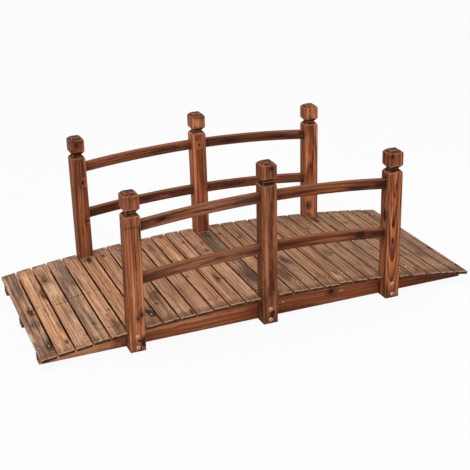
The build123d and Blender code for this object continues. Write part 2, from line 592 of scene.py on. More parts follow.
class FlangedBolts(Fixings):
    """Button-head bolts with a flange and a hex socket, each through to its nut."""

    SIDES = 40
    RINGS = 16
    SHANK_SIDES = 24
    HEX_SIDES = 6

    def __init__(self) -> None:
        """Builds the tree."""
        super().__init__("flanged_bolts", {
            "Flange": "Float", "Flange Height": "Float", "Dome": "Float", "Head Height": "Float",
            "Socket": "Float", "Socket Depth": "Float", "Shank": "Float", "Grip": "Float",
            "Nut": "Float", "Nut Height": "Float",
        })
        g, given = self.graph, self.given
        flange = self._drum(self.SIDES, given["Flange"], given["Flange Height"], 0.0)
        ball = g.add("GeometryNodeMeshUVSphere")
        g.fill(ball, Segments=self.SIDES, Rings=self.RINGS, Radius=1.0)
        rise = g.math("SUBTRACT", given["Head Height"], given["Flange Height"])
        dome = g.add("GeometryNodeTransform")
        g.fill(dome, Geometry=ball.outputs[0], Translation=g.join(0.0, 0.0, given["Flange Height"]),
               Scale=g.join(given["Dome"], given["Dome"], rise))
        past = g.times(given["Nut Height"], -1.0)
        back = g.math("SUBTRACT", past, given["Grip"])
        clamped = g.math("ADD", given["Grip"], given["Nut Height"])
        shank_length = g.math("ADD", clamped, given["Flange Height"])
        shank = self._drum(self.SHANK_SIDES, given["Shank"], shank_length, back)
        nut = self._drum(self.HEX_SIDES, given["Nut"], given["Nut Height"], back)
        solid = self._combine("UNION", None, flange, dome.outputs[0], shank, nut)
        floor = g.math("SUBTRACT", given["Head Height"], given["Socket Depth"])
        socket = self._drum(self.HEX_SIDES, given["Socket"], given["Head Height"], floor)
        hollow = g.add("GeometryNodeStoreNamedAttribute", data_type="FLOAT", domain="FACE")
        g.fill(hollow, Geometry=socket, Name="hollow")
        g.feed(next(s for s in hollow.inputs if s.name == "Value" and s.enabled), 1.0)
        self.set_on_points(self._combine("DIFFERENCE", solid, hollow.outputs[0]))

    def _drum(self, sides: int, radius: Feed, height: Feed, foot: Feed) -> Socket:
        """Makes a closed drum.

        Args:
            sides: How many sides it has.
            radius: Its radius.
            height: Its height.
            foot: Where it starts along Z.

        Returns:
            Its geometry.
        """
        g = self.graph
        drum = g.fill(g.add("GeometryNodeMeshCylinder"), Vertices=sides, Radius=radius, Depth=height)
        placed = g.add("GeometryNodeTransform")
        middle = g.math("MULTIPLY_ADD", height, 0.5, foot)
        g.fill(placed, Geometry=drum.outputs[0], Translation=g.join(0.0, 0.0, middle))
        return placed.outputs[0]

    def _combine(self, operation: str, first: Optional[Socket], *others: Socket) -> Socket:
        """Joins solids, or cuts the others out of the first.

        Args:
            operation: UNION or DIFFERENCE.
            first: The solid that is cut, or None in a union.
            *others: The other solids.

        Returns:
            The new solid.
        """
        node = self.graph.add("GeometryNodeMeshBoolean", first, operation=operation, solver="EXACT")
        for other in others:
            self.graph.feed(node.inputs[1], other)
        return node.outputs["Mesh"]


def points_mesh(places: Sequence[Vector], facings: Sequence[Vector]) -> bpy.types.Mesh:
    """Makes the base mesh that the fixings are set on.

    Args:
        places: Where the heads stand.
        facings: The direction that each head faces.

    Returns:
        Loose points with the attribute facing.
    """
    mesh = bpy.data.meshes.new("points")
    mesh.from_pydata(places, [], [])
    values = mesh.attributes.new("facing", "FLOAT_VECTOR", "POINT")
    values.data.foreach_set("vector", [part for facing in facings for part in facing])
    return mesh


@dataclass(frozen=True)
class Knot:
    """A knot on the face of a timber, placed from the timber's middle."""

    along: float
    across: float
    radius: float = 0.005


@dataclass(frozen=True)
class Patch:
    """A soft patch along the grain: scorched where its depth is above 0, rubbed pale below.

    One that is on the flank is placed in depth, on the face at the timber's low side.
    """

    along: float
    across: float
    reach: float
    depth: float = 0.6
    stretch: float = 3.2
    on_flank: bool = False


@dataclass(frozen=True)
class Band:
    """A dark line or belt across the grain: a scorched line, or painted shade in a post's neck."""

    along: float = 0.0
    width: float = 0.001
    depth: float = 0.0


@dataclass(frozen=True)
class TimberLook:
    """How one timber was sawn from its log and browned."""

    seed: float = 0.0
    tone: float = 0.0
    ash: float = 0.2
    scorch: float = 0.4
    figure: float = 1.0
    warmth: float = 0.0
    pith: tuple[float, float] = (0.0, -0.06)
    slope: float = 0.02
    tilt: float = 0.01
    knots: tuple[Knot, ...] = ()
    patches: tuple[Patch, ...] = ()
    bands: tuple[Band, ...] = ()
    nails: tuple[tuple[float, float], ...] = ()


class Grain(Enum):
    """The wood's noise: ripples in a metre along and across it, seed, and finer layers."""

    DRIFT = (2.6, 12.0, 0.0, 1.0)
    STREAK = (3.0, 165.0, 0.0, 3.0)
    LINE = (3.0, 245.0, 5.0, 2.5)
    FLECK = (15.0, 150.0, 43.0, 3.0)
    DASH = (17.0, 190.0, 61.0, 2.0)
    FIBRE = (26.0, 900.0, 0.0, 2.0)
    SPECK = (30.0, 70.0, 31.0, 3.0)
    BELT = (1.8, 48.0, 3.0, 2.0)
    SMOKE = (4.0, 22.0, 19.0, 3.0)
    CLOUD = (8.0, 20.0, 7.0, 4.0)

    def at(self, g: Graph, place: Feed, seed: Feed) -> Socket:
        """Adds this noise to a graph.

        Args:
            g: The graph.
            place: The position that is read, in metres.
            seed: The timber's own seed.

        Returns:
            The noise, about 0.5 on average.
        """
        along, across, offset, detail = self.value
        if offset:
            seed = g.math("ADD", seed, offset)
        return g.noise(place, (along, across, across), seed, detail)


class TimberPaint:
    """The nodes of one wood finish, from the grain to the marks that are laid over it.

    A fade says where a mark starts and where it is full, on the noise or the distance in
    metres that draws it. A share says how much of the colour under it a mark hides, and a
    stretch how many times longer than wide it is.
    """

    DARK_STREAKS: Fade = (0.51, 0.62)
    PALE_STREAKS: Fade = (0.47, 0.36)
    PALE_SHARE = 0.8
    FLECKS: Fade = (0.58, 0.70)
    FIBRE_SWING = 0.6
    DARKEST = 0.10
    ROUGH_SWING = 0.16
    RING_RELIEF = 0.4
    FIBRE_RELIEF = 0.35
    STREAK_RELIEF = 0.6

    RING_DRIFT = 90.0
    RING_UNEVEN = 1.6
    RINGS_IN_KNOT = 2.0
    RING_STOPS = ((0.0, 0.0), (0.35, 0.08), (0.72, 0.75), (0.9, 1.0), (1.0, 0.05))

    BELTS: Fade = (0.50, 0.66)
    CLOUD_GAIN = 0.34
    ASH_START = 0.66
    ASH_FADE = 0.16
    ASH_SHARE = 0.8
    ASH_TO_SCORCH: Fade = (0.42, 0.60)
    BROWN_START = 0.76
    BROWN_FADE = 0.17
    BROWN_SHARE = 0.75

    KNOT_STRETCH = 1.5
    KNOT_FALL = -0.16
    KNOT_PUSH = 1.3
    KNOT_CORE: Fade = (1.15, 0.7)
    KNOT_HALO: Fade = (3.4, 1.0)
    CORE_SHARE = 0.78
    HALO_SHARE = 0.55

    PATCH_FADE: Fade = (1.15, 0.25)
    PATCH_RAGGED = 1.5
    PATCH_GAIN = 1.6
    PATCH_HEART: Fade = (0.42, 0.9)
    HEART_SHARE = 0.85
    FLANK: Fade = (0.009, 0.002)
    BAND_FADE: Fade = (1.2, 0.5)
    BAND_RAGGED = 0.012
    HOLLOW_FADE: Fade = (1.2, 0.55)
    HOLLOW_STRETCH = 1.2
    HOLLOW_SHARE = 0.75
    LEAST_SIZE = 0.0001

    SAWN: Fade = (0.0008, 0.0002)
    SOOT: Fade = (0.020, 0.003)
    SOOT_SPECKS: Fade = (0.34, 0.60)
    TOP_EDGE: Fade = (0.0015, 0.0003)
    SINGE: Fade = (0.060, 0.0)
    SINGE_SPECKS: Fade = (0.38, 0.60)
    SINGE_SHARE = 0.75
    BURNT: Fade = (0.016, 0.002)
    BURNT_SPECKS: Fade = (0.48, 0.62)
    BURNT_SHARE = 0.6
    RIM_TOP: Fade = (0.0014, 0.0006)
    RIM_END: Fade = (0.0070, 0.0020)
    RIM_SPECKS: Fade = (0.30, 0.52)
    RUB: Fade = (0.5, 0.95)
    RUB_SPECKS: Fade = (0.36, 0.60)
    SPARED: Fade = (0.0009, 0.0020)

    def __init__(self, wood: "TorchedSoftwood", tree: bpy.types.NodeTree) -> None:
        """Builds the nodes.

        Args:
            wood: The finish.
            tree: The finish's node group, which has its sockets and no nodes yet.
        """
        self.wood = wood
        self.graph = g = Graph(tree)
        self.given = g.add("NodeGroupInput").outputs
        self.still = g.add("ShaderNodeAttribute", attribute_name="timber").outputs["Vector"]
        drift = self._noise(Grain.DRIFT, self.still).node.outputs["Color"]
        drift = g.vector("SUBTRACT", drift, (0.5, 0.5, 0.5))
        sideways = g.vector("MULTIPLY", drift, (0.0, wood.wander, wood.wander))
        self.place = g.vector("ADD", self.still, sideways)
        self.streak = self._noise(Grain.STREAK, self.place)
        self.speck = self._noise(Grain.SPECK, self.still)
        fibre = self._noise(Grain.FIBRE, self.still)
        swell, core, halo, eye = self._knots()
        rings = self._rings(swell, eye)
        colour = self._marks(self._smoke(self._grain(rings)), core, halo)
        colour = self._edges(self._light(colour, fibre))
        colour = g.coat(colour, wood.char, self._hollows(), self.HOLLOW_SHARE)
        height = g.math("MULTIPLY_ADD", rings, self.RING_RELIEF, g.times(fibre, self.FIBRE_RELIEF))
        height = g.math("MULTIPLY_ADD", self.streak, self.STREAK_RELIEF, height)
        rough = g.swing(self.streak, self.ROUGH_SWING, wood.roughness)
        g.fill(g.add("NodeGroupOutput"), Colour=colour, Roughness=rough, Height=height)

    def _noise(self, grain: Grain, place: Feed) -> Socket:
        """Returns one of the wood's noises with the timber's own seed."""
        return grain.at(self.graph, place, self.given["Seed"])

    def _specks(self, fade: Fade) -> Socket:
        """Returns the specks that break up a mark."""
        return self.graph.step(self.speck, *fade)

    def _ragged(self, amount: float) -> Socket:
        """Returns specks about 0, to add to a distance so that a mark's rim is ragged."""
        return self.graph.times(self.graph.math("SUBTRACT", self.speck, 0.5), amount)

    def _ratio(self, far: Feed, aside: Feed, size: Feed, stretch: Feed) -> Socket:
        """Measures how far a place is from a mark, as a share of the mark's size.

        Args:
            far: How far along the timber the place is from the mark.
            aside: How far to the side it is.
            size: The mark's radius across the grain.
            stretch: How many times longer than wide the mark is.

        Returns:
            0 at the middle of the mark and 1 at its rim.
        """
        g = self.graph
        distance = g.vector("LENGTH", g.join(g.math("DIVIDE", far, stretch), aside, 0.0))
        return g.math("DIVIDE", distance, g.math("MAXIMUM", size, self.LEAST_SIZE))

    def _knots(self) -> tuple[Socket, Socket, Socket, Socket]:
        """Works out how the knots push the rings aside, and where they show.

        Returns:
            The push on the rings in metres, the dark core, the halo, and the eye's own rings.
        """
        g = self.graph
        swell, core, halo, eye = 0.0, 0.0, 0.0, 0.0
        for number in range(self.wood.knot_count):
            knot = self.given[f"Knot {number}"]
            far, aside, _ = g.split(g.vector("SUBTRACT", self.still, knot))
            size = g.split(knot)[2]
            ratio = self._ratio(far, aside, size, self.KNOT_STRETCH)
            fall = g.math("POWER", math.e, g.times(ratio, ratio, self.KNOT_FALL))
            swell = g.math("ADD", swell, g.times(fall, g.times(size, self.KNOT_PUSH)))
            inside = g.step(ratio, *self.KNOT_CORE)
            core = g.math("MAXIMUM", core, inside)
            halo = g.math("MAXIMUM", halo, g.step(ratio, *self.KNOT_HALO))
            eye = g.math("ADD", eye, g.times(inside, ratio))
        return swell, core, halo, eye

    def _rings(self, swell: Feed, eye: Feed) -> Socket:
        """Draws the year rings of a log whose heart lies outside the timber.

        Args:
            swell: The push that the knots give the rings.
            eye: The knots' own rings.

        Returns:
            0 in early wood and 1 in late wood.
        """
        g, given = self.graph, self.given
        along, across, depth = g.split(self.place)
        aside, below, slope = g.split(given["Pith"])
        flat = g.math("SUBTRACT", g.math("SUBTRACT", across, aside), g.times(along, slope))
        deep = g.math("SUBTRACT", g.math("SUBTRACT", depth, below), g.times(along, given["Tilt"]))
        radius = g.math("ADD", g.vector("LENGTH", g.join(flat, deep, 0.0)), swell)
        uneven = g.add("ShaderNodeTexNoise", noise_dimensions="1D")
        g.fill(uneven, W=g.math("MULTIPLY_ADD", radius, self.RING_DRIFT, given["Seed"]), Scale=1.0)
        turn = g.math("DIVIDE", radius, self.wood.ring_spacing)
        turn = g.math("MULTIPLY_ADD", uneven.outputs[0], self.RING_UNEVEN, turn)
        turn = g.math("MULTIPLY_ADD", eye, self.RINGS_IN_KNOT, turn)
        return g.ramp(g.math("FRACT", turn), self.RING_STOPS)

    def _grain(self, rings: Feed) -> Socket:
        """Draws the rings and streaks of clean wood.

        Args:
            rings: 0 in early wood and 1 in late wood.

        Returns:
            The colour of the clean wood.
        """
        g, wood = self.graph, self.wood
        colour = g.coat(wood.early, wood.late, rings, wood.contrast, self.given["Figure"])
        colour = g.coat(colour, wood.late, g.step(self.streak, *self.DARK_STREAKS), wood.streaks)
        pale = wood.streaks * self.PALE_SHARE
        return g.coat(colour, wood.worn, g.step(self.streak, *self.PALE_STREAKS), pale)

    def _cloud(self, grain: Grain, amount: Feed, start: float, fade: float) -> Socket:
        """Returns where a cloud lies.

        Args:
            grain: The noise that draws it.
            amount: How much of the timber it covers.
            start: Where it would start on the noise if the amount were 0.
            fade: How soft its rim is.

        Returns:
            0 outside the cloud and 1 in its middle.
        """
        g = self.graph
        limit = g.math("SUBTRACT", start, g.times(amount, self.CLOUD_GAIN))
        return g.step(self._noise(grain, self.still), limit, g.math("ADD", limit, fade))

    def _smoke(self, colour: Feed) -> Socket:
        """Lays the torch's belts and its grey and brown clouds over the clean wood.

        Args:
            colour: The colour of the clean wood.

        Returns:
            The browned colour.
        """
        g, wood, given = self.graph, self.wood, self.given
        belts = g.step(self._noise(Grain.BELT, self.place), *self.BELTS)
        colour = g.coat(colour, wood.scorch, belts, wood.belts)
        ash = self._cloud(Grain.SMOKE, given["Ash"], self.ASH_START, self.ASH_FADE)
        grey = g.coat(wood.ash, wood.scorch, g.step(self.streak, *self.ASH_TO_SCORCH))
        colour = g.coat(colour, grey, ash, self.ASH_SHARE)
        brown = self._cloud(Grain.CLOUD, given["Scorch"], self.BROWN_START, self.BROWN_FADE)
        return g.coat(colour, wood.scorch, brown, self.BROWN_SHARE)

    def _patches(self) -> tuple[Socket, Socket]:
        """Adds up the listed patches.

        Returns:
            How scorched and how pale the place is, from 0 to 1.
        """
        g, given = self.graph, self.given
        dark, pale = 0.0, 0.0
        ragged = self._ragged(self.PATCH_RAGGED)
        along, across, depth = g.split(self.still)
        flank = g.times(g.split(given["Half"])[1], -1.0)
        at_flank = g.step(across, *(g.math("ADD", flank, inset) for inset in self.FLANK))
        for number in range(self.wood.patch_count):
            at, aside, size = g.split(given[f"Patch {number}"])
            strength, stretch, on_flank = g.split(given[f"Kind {number}"])
            open_face = g.math("SUBTRACT", 1.0, on_flank)
            side = g.math("MULTIPLY_ADD", depth, on_flank, g.times(across, open_face))
            far, off = g.math("SUBTRACT", along, at), g.math("SUBTRACT", side, aside)
            ratio = self._ratio(far, off, size, g.math("MAXIMUM", stretch, 1.0))
            shown = g.math("MULTIPLY_ADD", at_flank, on_flank, open_face)
            inside = g.step(g.math("ADD", ratio, ragged), *self.PATCH_FADE)
            amount = g.times(inside, strength, shown)
            dark = g.math("MAXIMUM", dark, amount)
            pale = g.math("MAXIMUM", pale, g.times(amount, -1.0))
        return dark, pale

    def _bands(self) -> Socket:
        """Adds up the bands across the grain.

        Returns:
            How dark they make the place, from 0 to 1.
        """
        g = self.graph
        along = g.math("ADD", g.split(self.still)[0], self._ragged(self.BAND_RAGGED))
        shade = 0.0
        for number in range(self.wood.band_count):
            at, width, depth = g.split(self.given[f"Band {number}"])
            distance = g.math("ABSOLUTE", g.math("SUBTRACT", along, at))
            ratio = g.math("DIVIDE", distance, g.math("MAXIMUM", width, self.LEAST_SIZE))
            shade = g.math("MAXIMUM", shade, g.times(g.step(ratio, *self.BAND_FADE), depth))
        return shade

    def _hollows(self) -> Socket:
        """Adds up the stained hollows round the nails.

        Returns:
            1 in a hollow and 0 outside.
        """
        g = self.graph
        stain = 0.0
        for number in range(self.wood.nail_count):
            nail = self.given[f"Nail {number}"]
            far, aside, _ = g.split(g.vector("SUBTRACT", self.still, nail))
            ratio = self._ratio(far, aside, g.split(nail)[2], self.HOLLOW_STRETCH)
            stain = g.math("MAXIMUM", stain, g.step(ratio, *self.HOLLOW_FADE))
        return stain

    def _marks(self, colour: Feed, core: Feed, halo: Feed) -> Socket:
        """Lays the patches, the knots and the bands over the browned wood.

        Args:
            colour: The colour of the browned wood.
            core: The knots' dark cores.
            halo: The knots' halos.

        Returns:
            The marked colour.
        """
        g, wood = self.graph, self.wood
        dark, pale = self._patches()
        colour = g.coat(colour, wood.scorch, g.math("MINIMUM", g.times(dark, self.PATCH_GAIN), 1.0))
        colour = g.coat(colour, wood.char, g.step(dark, *self.PATCH_HEART), self.HEART_SHARE)
        colour = g.coat(colour, wood.worn, pale)
        colour = g.coat(colour, wood.scorch, halo, self.HALO_SHARE)
        colour = g.coat(colour, wood.char, core, self.CORE_SHARE)
        return g.coat(colour, wood.char, self._bands())

    def _light(self, colour: Feed, fibre: Feed) -> Socket:
        """Makes the colour lighter and darker with the fine grain, the tone and the warmth.

        Args:
            colour: The marked colour.
            fibre: The finest grain.

        Returns:
            The new colour.
        """
        g, wood, given = self.graph, self.wood, self.given
        line = self._noise(Grain.LINE, self.place)
        fleck = g.step(self._noise(Grain.FLECK, self.place), *self.FLECKS)
        spots = g.math("MULTIPLY_ADD", fleck, -wood.flecks, 1.0)
        level = g.times(g.swing(line, wood.lines), g.swing(fibre, self.FIBRE_SWING), spots)
        if wood.dashes:
            level = g.times(level, g.swing(self._noise(Grain.DASH, self.still), wood.dashes))
        level = g.math("MINIMUM", g.math("MAXIMUM", level, self.DARKEST), wood.brightest)
        tint = g.join(*(g.math("POWER", level, power) for power in wood.reddening))
        colour = g.vector("MULTIPLY", colour, g.scale(tint, g.math("ADD", 1.0, given["Tone"])))
        warmed = g.join(*(g.math("MULTIPLY_ADD", given["Warmth"], part, 1.0) for part in wood.warming))
        return g.vector("MULTIPLY", colour, warmed)

    def _edges(self, colour: Feed) -> Socket:
        """Darkens the sawn sides and ends, the ends partly as painted shade, and rubs the corners pale,
        partly as a painted highlight.

        Args:
            colour: The colour of the open face.

        Returns:
            The colour with its edges.
        """
        g, wood = self.graph, self.wood
        half = self.given["Half"]
        to_end, to_side, _ = g.split(g.vector("SUBTRACT", half, g.vector("ABSOLUTE", self.still)))
        _, to_upper_side, to_face = g.split(g.vector("SUBTRACT", half, self.still))
        # The end faces are darkened to the char colour: partly charred end grain, partly painted shade
        end = g.times(g.step(to_end, *self.SAWN), wood.end_depth)
        colour = g.coat(colour, wood.side, g.step(to_side, *self.SAWN), wood.side_depth)
        colour = g.coat(colour, wood.char, end)
        if wood.soot:
            # Painted shade: darker, with specks, by the timber's top side, where the deck boards shade the
            # stringers
            top_shaded = g.step(to_upper_side, *self.SOOT)
            colour = g.coat(colour, wood.char, top_shaded, self._specks(self.SOOT_SPECKS), wood.soot)
        if wood.top_fade:
            # Painted highlight: the top face and the top of the sides are painted paler
            colour = g.coat(colour, wood.worn, g.step(to_upper_side, *self.TOP_EDGE), wood.top_fade)
        singe = g.step(to_end, *self.SINGE)
        colour = g.coat(colour, wood.scorch, singe, self._specks(self.SINGE_SPECKS), self.SINGE_SHARE)
        burnt = g.step(to_end, *self.BURNT)
        colour = g.coat(colour, wood.char, burnt, self._specks(self.BURNT_SPECKS), self.BURNT_SHARE)
        # A pale broken rim on the face by the ends: partly chipped, partly a painted highlight on the ends'
        # top edge
        if wood.rim:
            on_face = g.times(g.step(to_face, *self.RIM_TOP), self._specks(self.RIM_SPECKS))
            colour = g.coat(colour, wood.worn, g.step(to_end, *self.RIM_END), on_face, wood.rim)
        wear = g.add("ShaderNodeAttribute", attribute_name="wear").outputs["Fac"]
        spared = g.math("SUBTRACT", 1.0, g.times(end, g.step(to_face, *self.SPARED)))
        # Pale corners: partly rubbed, partly a painted highlight where the corners catch the light
        rub_and_highlight = g.step(wear, *self.RUB)
        return g.coat(colour, wood.worn, rub_and_highlight, self._specks(self.RUB_SPECKS), spared, wood.wear)


@dataclass(frozen=True)
class TorchedSoftwood:
    """Softwood browned with a torch, brushed and stained: one node group for each finish."""

    name: str
    early: Colour
    late: Colour
    scorch: Colour
    char: Colour
    ash: Colour
    # The pale colour of rubbed wood, also used for painted highlights
    worn: Colour
    side: Colour = linear(50, 30, 22)
    ring_spacing: float = 0.0052
    contrast: float = 0.6
    wander: float = 0.014
    belts: float = 0.45
    streaks: float = 0.6
    lines: float = 2.0
    flecks: float = 0.5
    dashes: float = 0.0
    brightest: float = 1.4
    reddening: tuple[float, float, float] = (1.0, 1.3, 1.6)
    warming: tuple[float, float, float] = (0.04, -0.12, -0.28)
    soot: float = 0.0
    rim: float = 0.0
    wear: float = 0.6
    side_depth: float = 0.25
    end_depth: float = 0.6
    top_fade: float = 0.0
    roughness: float = 0.72
    specular: float = 0.14
    relief: float = 0.0006
    knot_count: int = 3
    patch_count: int = 6
    band_count: int = 3
    nail_count: int = 6
    nail_stain: float = 0.0058

    def group(self) -> bpy.types.NodeTree:
        """Returns the finish's node group, built at the first call.

        Returns:
            A group that turns a place in the timber into colour, roughness and height.
        """
        if self.name in bpy.data.node_groups:
            return bpy.data.node_groups[self.name]
        tree = bpy.data.node_groups.new(self.name, "ShaderNodeTree")
        counts = {
            "Knot": self.knot_count, "Patch": self.patch_count, "Kind": self.patch_count,
            "Band": self.band_count, "Nail": self.nail_count,
        }
        marks = [f"{label} {number}" for label, count in counts.items() for number in range(count)]
        numbers = ("Seed", "Tone", "Ash", "Scorch", "Figure", "Warmth", "Tilt")
        for way, kind, names in (
            ("INPUT", "Vector", ("Half", "Pith", *marks)), ("INPUT", "Float", numbers),
            ("OUTPUT", "Color", ("Colour",)), ("OUTPUT", "Float", ("Roughness", "Height")),
        ):
            for name in names:
                tree.interface.new_socket(name, in_out=way, socket_type=f"NodeSocket{kind}")
        TimberPaint(self, tree)
        return tree

    def material(self, name: str, half: Vector, look: TimberLook) -> bpy.types.Material:
        """Makes the material of one timber.

        Args:
            name: The timber's name.
            half: Half its size along, across and in depth.
            look: How it was sawn and browned.

        Returns:
            The new material.
        """
        material = bpy.data.materials.new(f"{self.name}_{name}")
        material.use_nodes = True
        g = Graph(material.node_tree)
        group = g.add("ShaderNodeGroup", node_tree=self.group())
        g.fill(group, Half=half, Pith=(*look.pith, look.slope), Tilt=look.tilt, Seed=look.seed,
               Tone=look.tone, Ash=look.ash, Scorch=look.scorch, Figure=look.figure, Warmth=look.warmth)
        marks = {
            "Knot": [(k.along, k.across, k.radius) for k in look.knots],
            "Patch": [(p.along, p.across, p.reach) for p in look.patches],
            "Kind": [(p.depth, p.stretch, float(p.on_flank)) for p in look.patches],
            "Band": [(b.along, b.width, b.depth) for b in look.bands],
            "Nail": [(*nail, self.nail_stain) for nail in look.nails],
        }
        for label, values in marks.items():
            for number, value in enumerate(values):
                g.feed(group.inputs[f"{label} {number}"], value)
        bump = g.fill(g.add("ShaderNodeBump"), Distance=self.relief, Height=group.outputs["Height"])
        g.fill(
            material.node_tree.nodes["Principled BSDF"], Base_Color=group.outputs["Colour"],
            Roughness=group.outputs["Roughness"], Normal=bump.outputs[0], Specular_IOR_Level=self.specular,
        )
        return material


@dataclass(frozen=True)
class ZincSteel:
    """Zinc plated steel with dull spangle and brown stain, and its socket darkened with the stain colour as
    painted shade.
    """

    name: str
    bright: Colour
    dull: Colour
    stain: Colour = linear(110, 78, 58)
    spangle_ripples: float = 900.0
    spangle: Fade = (0.35, 0.7)
    stain_ripples: float = 160.0
    stain_from: float = 0.56
    stain_fade: float = 0.16
    stain_share: float = 0.6
    socket_share: float = 0.9
    metallic: float = 0.85
    smoothest: float = 0.28
    rough_swing: float = 0.25
    relief: float = 0.0001
    slot: str = "zinc_plated_steel"

    def material(self) -> bpy.types.Material:
        """Makes the finish's material at the first call.

        Returns:
            The material.
        """
        if self.name in bpy.data.materials:
            return bpy.data.materials[self.name]
        material = bpy.data.materials.new(self.name)
        material.use_nodes = True
        g = Graph(material.node_tree)
        place = g.add("ShaderNodeTexCoord").outputs["Object"]
        spangle = g.noise(place, (self.spangle_ripples,) * 3, 3.0, 3.0)
        stain = g.noise(place, (self.stain_ripples,) * 3, 11.0, 2.0)
        hollow = g.add("ShaderNodeAttribute", attribute_name="hollow").outputs["Fac"]
        colour = g.coat(self.bright, self.dull, g.step(spangle, *self.spangle))
        stain_and_socket_shade = g.step(stain, self.stain_from, self.stain_from + self.stain_fade)
        stain_and_socket_shade = g.times(stain_and_socket_shade, self.stain_share)
        # Painted shade: the bolt's socket is darkened to the stain colour
        stain_and_socket_shade = g.math("MAXIMUM", stain_and_socket_shade, g.times(hollow, self.socket_share))
        bump = g.fill(g.add("ShaderNodeBump"), Distance=self.relief, Height=spangle)
        g.fill(
            material.node_tree.nodes["Principled BSDF"], Base_Color=g.coat(colour, self.stain, stain_and_socket_shade),
            Metallic=self.metallic, Normal=bump.outputs[0],
            Roughness=g.math("MULTIPLY_ADD", spangle, self.rough_swing, self.smoothest),
        )
        return material


DECK_WOOD = TorchedSoftwood(
    name="deck_softwood",
    early=linear(197, 147, 111),
    late=linear(122, 74, 48),
    scorch=linear(110, 72, 52),
    char=linear(42, 25, 16),
    ash=linear(136, 108, 92),
    worn=linear(224, 175, 135),
    side=linear(130, 67, 38),
    contrast=0.34,
    wander=0.006,
    belts=0.2,
    streaks=0.10,
    lines=2.8,
    brightest=1.3,
    dashes=1.0,
    rim=0.55,
    wear=0.7,
    side_depth=0.85,
    end_depth=1.0,
)
POST_WOOD = TorchedSoftwood(
    name="post_softwood",
    early=linear(186, 110, 68),
    late=linear(92, 44, 27),
    scorch=linear(88, 46, 32),
    char=linear(38, 23, 18),
    ash=linear(112, 76, 60),
    worn=linear(212, 142, 100),
    ring_spacing=0.0070,
    contrast=0.8,
    streaks=0.5,
    lines=2.2,
)
RAIL_WOOD = TorchedSoftwood(
    name="rail_softwood",
    early=linear(140, 80, 50),
    late=linear(76, 40, 25),
    scorch=linear(64, 37, 27),
    char=linear(36, 23, 18),
    ash=linear(96, 72, 60),
    worn=linear(180, 118, 84),
    ring_spacing=0.0060,
    contrast=0.8,
    # Painted highlight on the rails' top faces
    top_fade=0.3,
    streaks=0.45,
    lines=2.0,
)
BEAM_WOOD = TorchedSoftwood(
    name="stained_softwood",
    early=linear(146, 84, 52),
    late=linear(102, 54, 33),
    scorch=linear(82, 44, 30),
    char=linear(38, 24, 18),
    ash=linear(110, 78, 62),
    worn=linear(214, 158, 122),
    ring_spacing=0.0080,
    contrast=0.6,
    streaks=0.4,
    lines=1.2,
    flecks=0.3,
    # Painted shade along the stringers' top, under the deck boards
    soot=0.5,
    end_depth=0.85,
)
ZINC = ZincSteel(
    "zinc_plated_bolts", bright=linear(214, 184, 156), dull=linear(164, 138, 114),
    stain=linear(70, 48, 36), metallic=0.8,
)
NAIL_ZINC = ZincSteel(
    "zinc_plated_nails", bright=linear(248, 226, 198), dull=linear(214, 184, 150), metallic=0.3,
    stain_ripples=38.0, stain_from=0.42,
)
SUNK_STEEL = ZincSteel("browned_nails", bright=linear(66, 44, 34), dull=linear(40, 28, 22), metallic=0.5)


@dataclass(frozen=True)
class FixingSizes:
    """How far heads of one kind lean and differ in size, and their seed."""

    lean: float = 0.0
    uneven: float = 0.0
    seed: int = 0


@dataclass(frozen=True)
class NailSizes(FixingSizes):
    """The sizes of a nail's head."""

    radius: float = 3.1 * MM
    height: float = 1.3 * MM


@dataclass(frozen=True)
class BoltSizes(FixingSizes):
    """The sizes of a post bolt and its nut."""

    flange: float = 6.8 * MM
    flange_height: float = 1.0 * MM
    dome: float = 5.6 * MM
    head_height: float = 3.3 * MM
    socket: float = 2.9 * MM
    socket_depth: float = 2.1 * MM
    shank: float = 3.0 * MM
    grip: float = 89.0 * MM
    nut: float = 5.8 * MM
    nut_height: float = 6.0 * MM


class Workshop:
    """The geometry trees, built once, and the naming and riding that all pieces share."""

    USUAL_SHAPE = {
        "Round": 2.0 * MM, "Band": 4.0 * MM, "Waver": 0.6 * MM, "Bend": 0.0, "Footing": 0.0, "Skew": 0.0,
    }

    def __init__(self) -> None:
        """Builds the trees."""
        self.timber = WornTimber()
        self.nail_heads = NailHeads()
        self.flanged_bolts = FlangedBolts()

    def saw(
        self, node: str, half: Vector, wood: TorchedSoftwood, look: TimberLook, turn: Matrix,
        stations: Sequence[Station], **shape: float,
    ) -> bpy.types.Object:
        """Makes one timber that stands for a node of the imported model.

        Args:
            node: The node's name.
            half: Half the timber's size along, across and in depth.
            wood: Its finish.
            look: How it was sawn and browned.
            turn: The matrix from the timber's own axes to its place.
            stations: The cuts along it.
            **shape: The tree's other inputs that differ from the usual.

        Returns:
            The finished piece.
        """
        material = wood.material(node, half, look)
        piece = self.timber.run(
            f"{node}_timber", stations_mesh(stations), Half=half, Seed=look.seed, Material=material,
            **{**self.USUAL_SHAPE, **shape},
        )
        piece.data.transform(turn)
        piece.modifiers.new("weighted", "WEIGHTED_NORMAL").keep_sharp = True
        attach(piece, ROOT_BODY)
        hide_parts(node)
        LOG.info("%s: %d faces", piece.name, len(piece.data.polygons))
        return piece

    def fix(
        self, name: str, tree: Fixings, finish: ZincSteel, places: Sequence[Vector],
        facings: Sequence[Vector], sizes: FixingSizes,
    ) -> bpy.types.Object:
        """Sets heads on points as one piece.

        Args:
            name: The piece's name.
            tree: The tree that makes the heads.
            finish: Their finish.
            places: Where they stand.
            facings: The direction that each faces.
            sizes: Their sizes.

        Returns:
            The finished piece.
        """
        inputs = {label.title(): size for label, size in asdict(sizes).items()}
        piece = tree.run(name, points_mesh(places, facings), Material=finish.material(), **inputs)
        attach(piece, ROOT_BODY)
        LOG.info("%s: %d heads, %d faces", name, len(places), len(piece.data.polygons))
        return piece


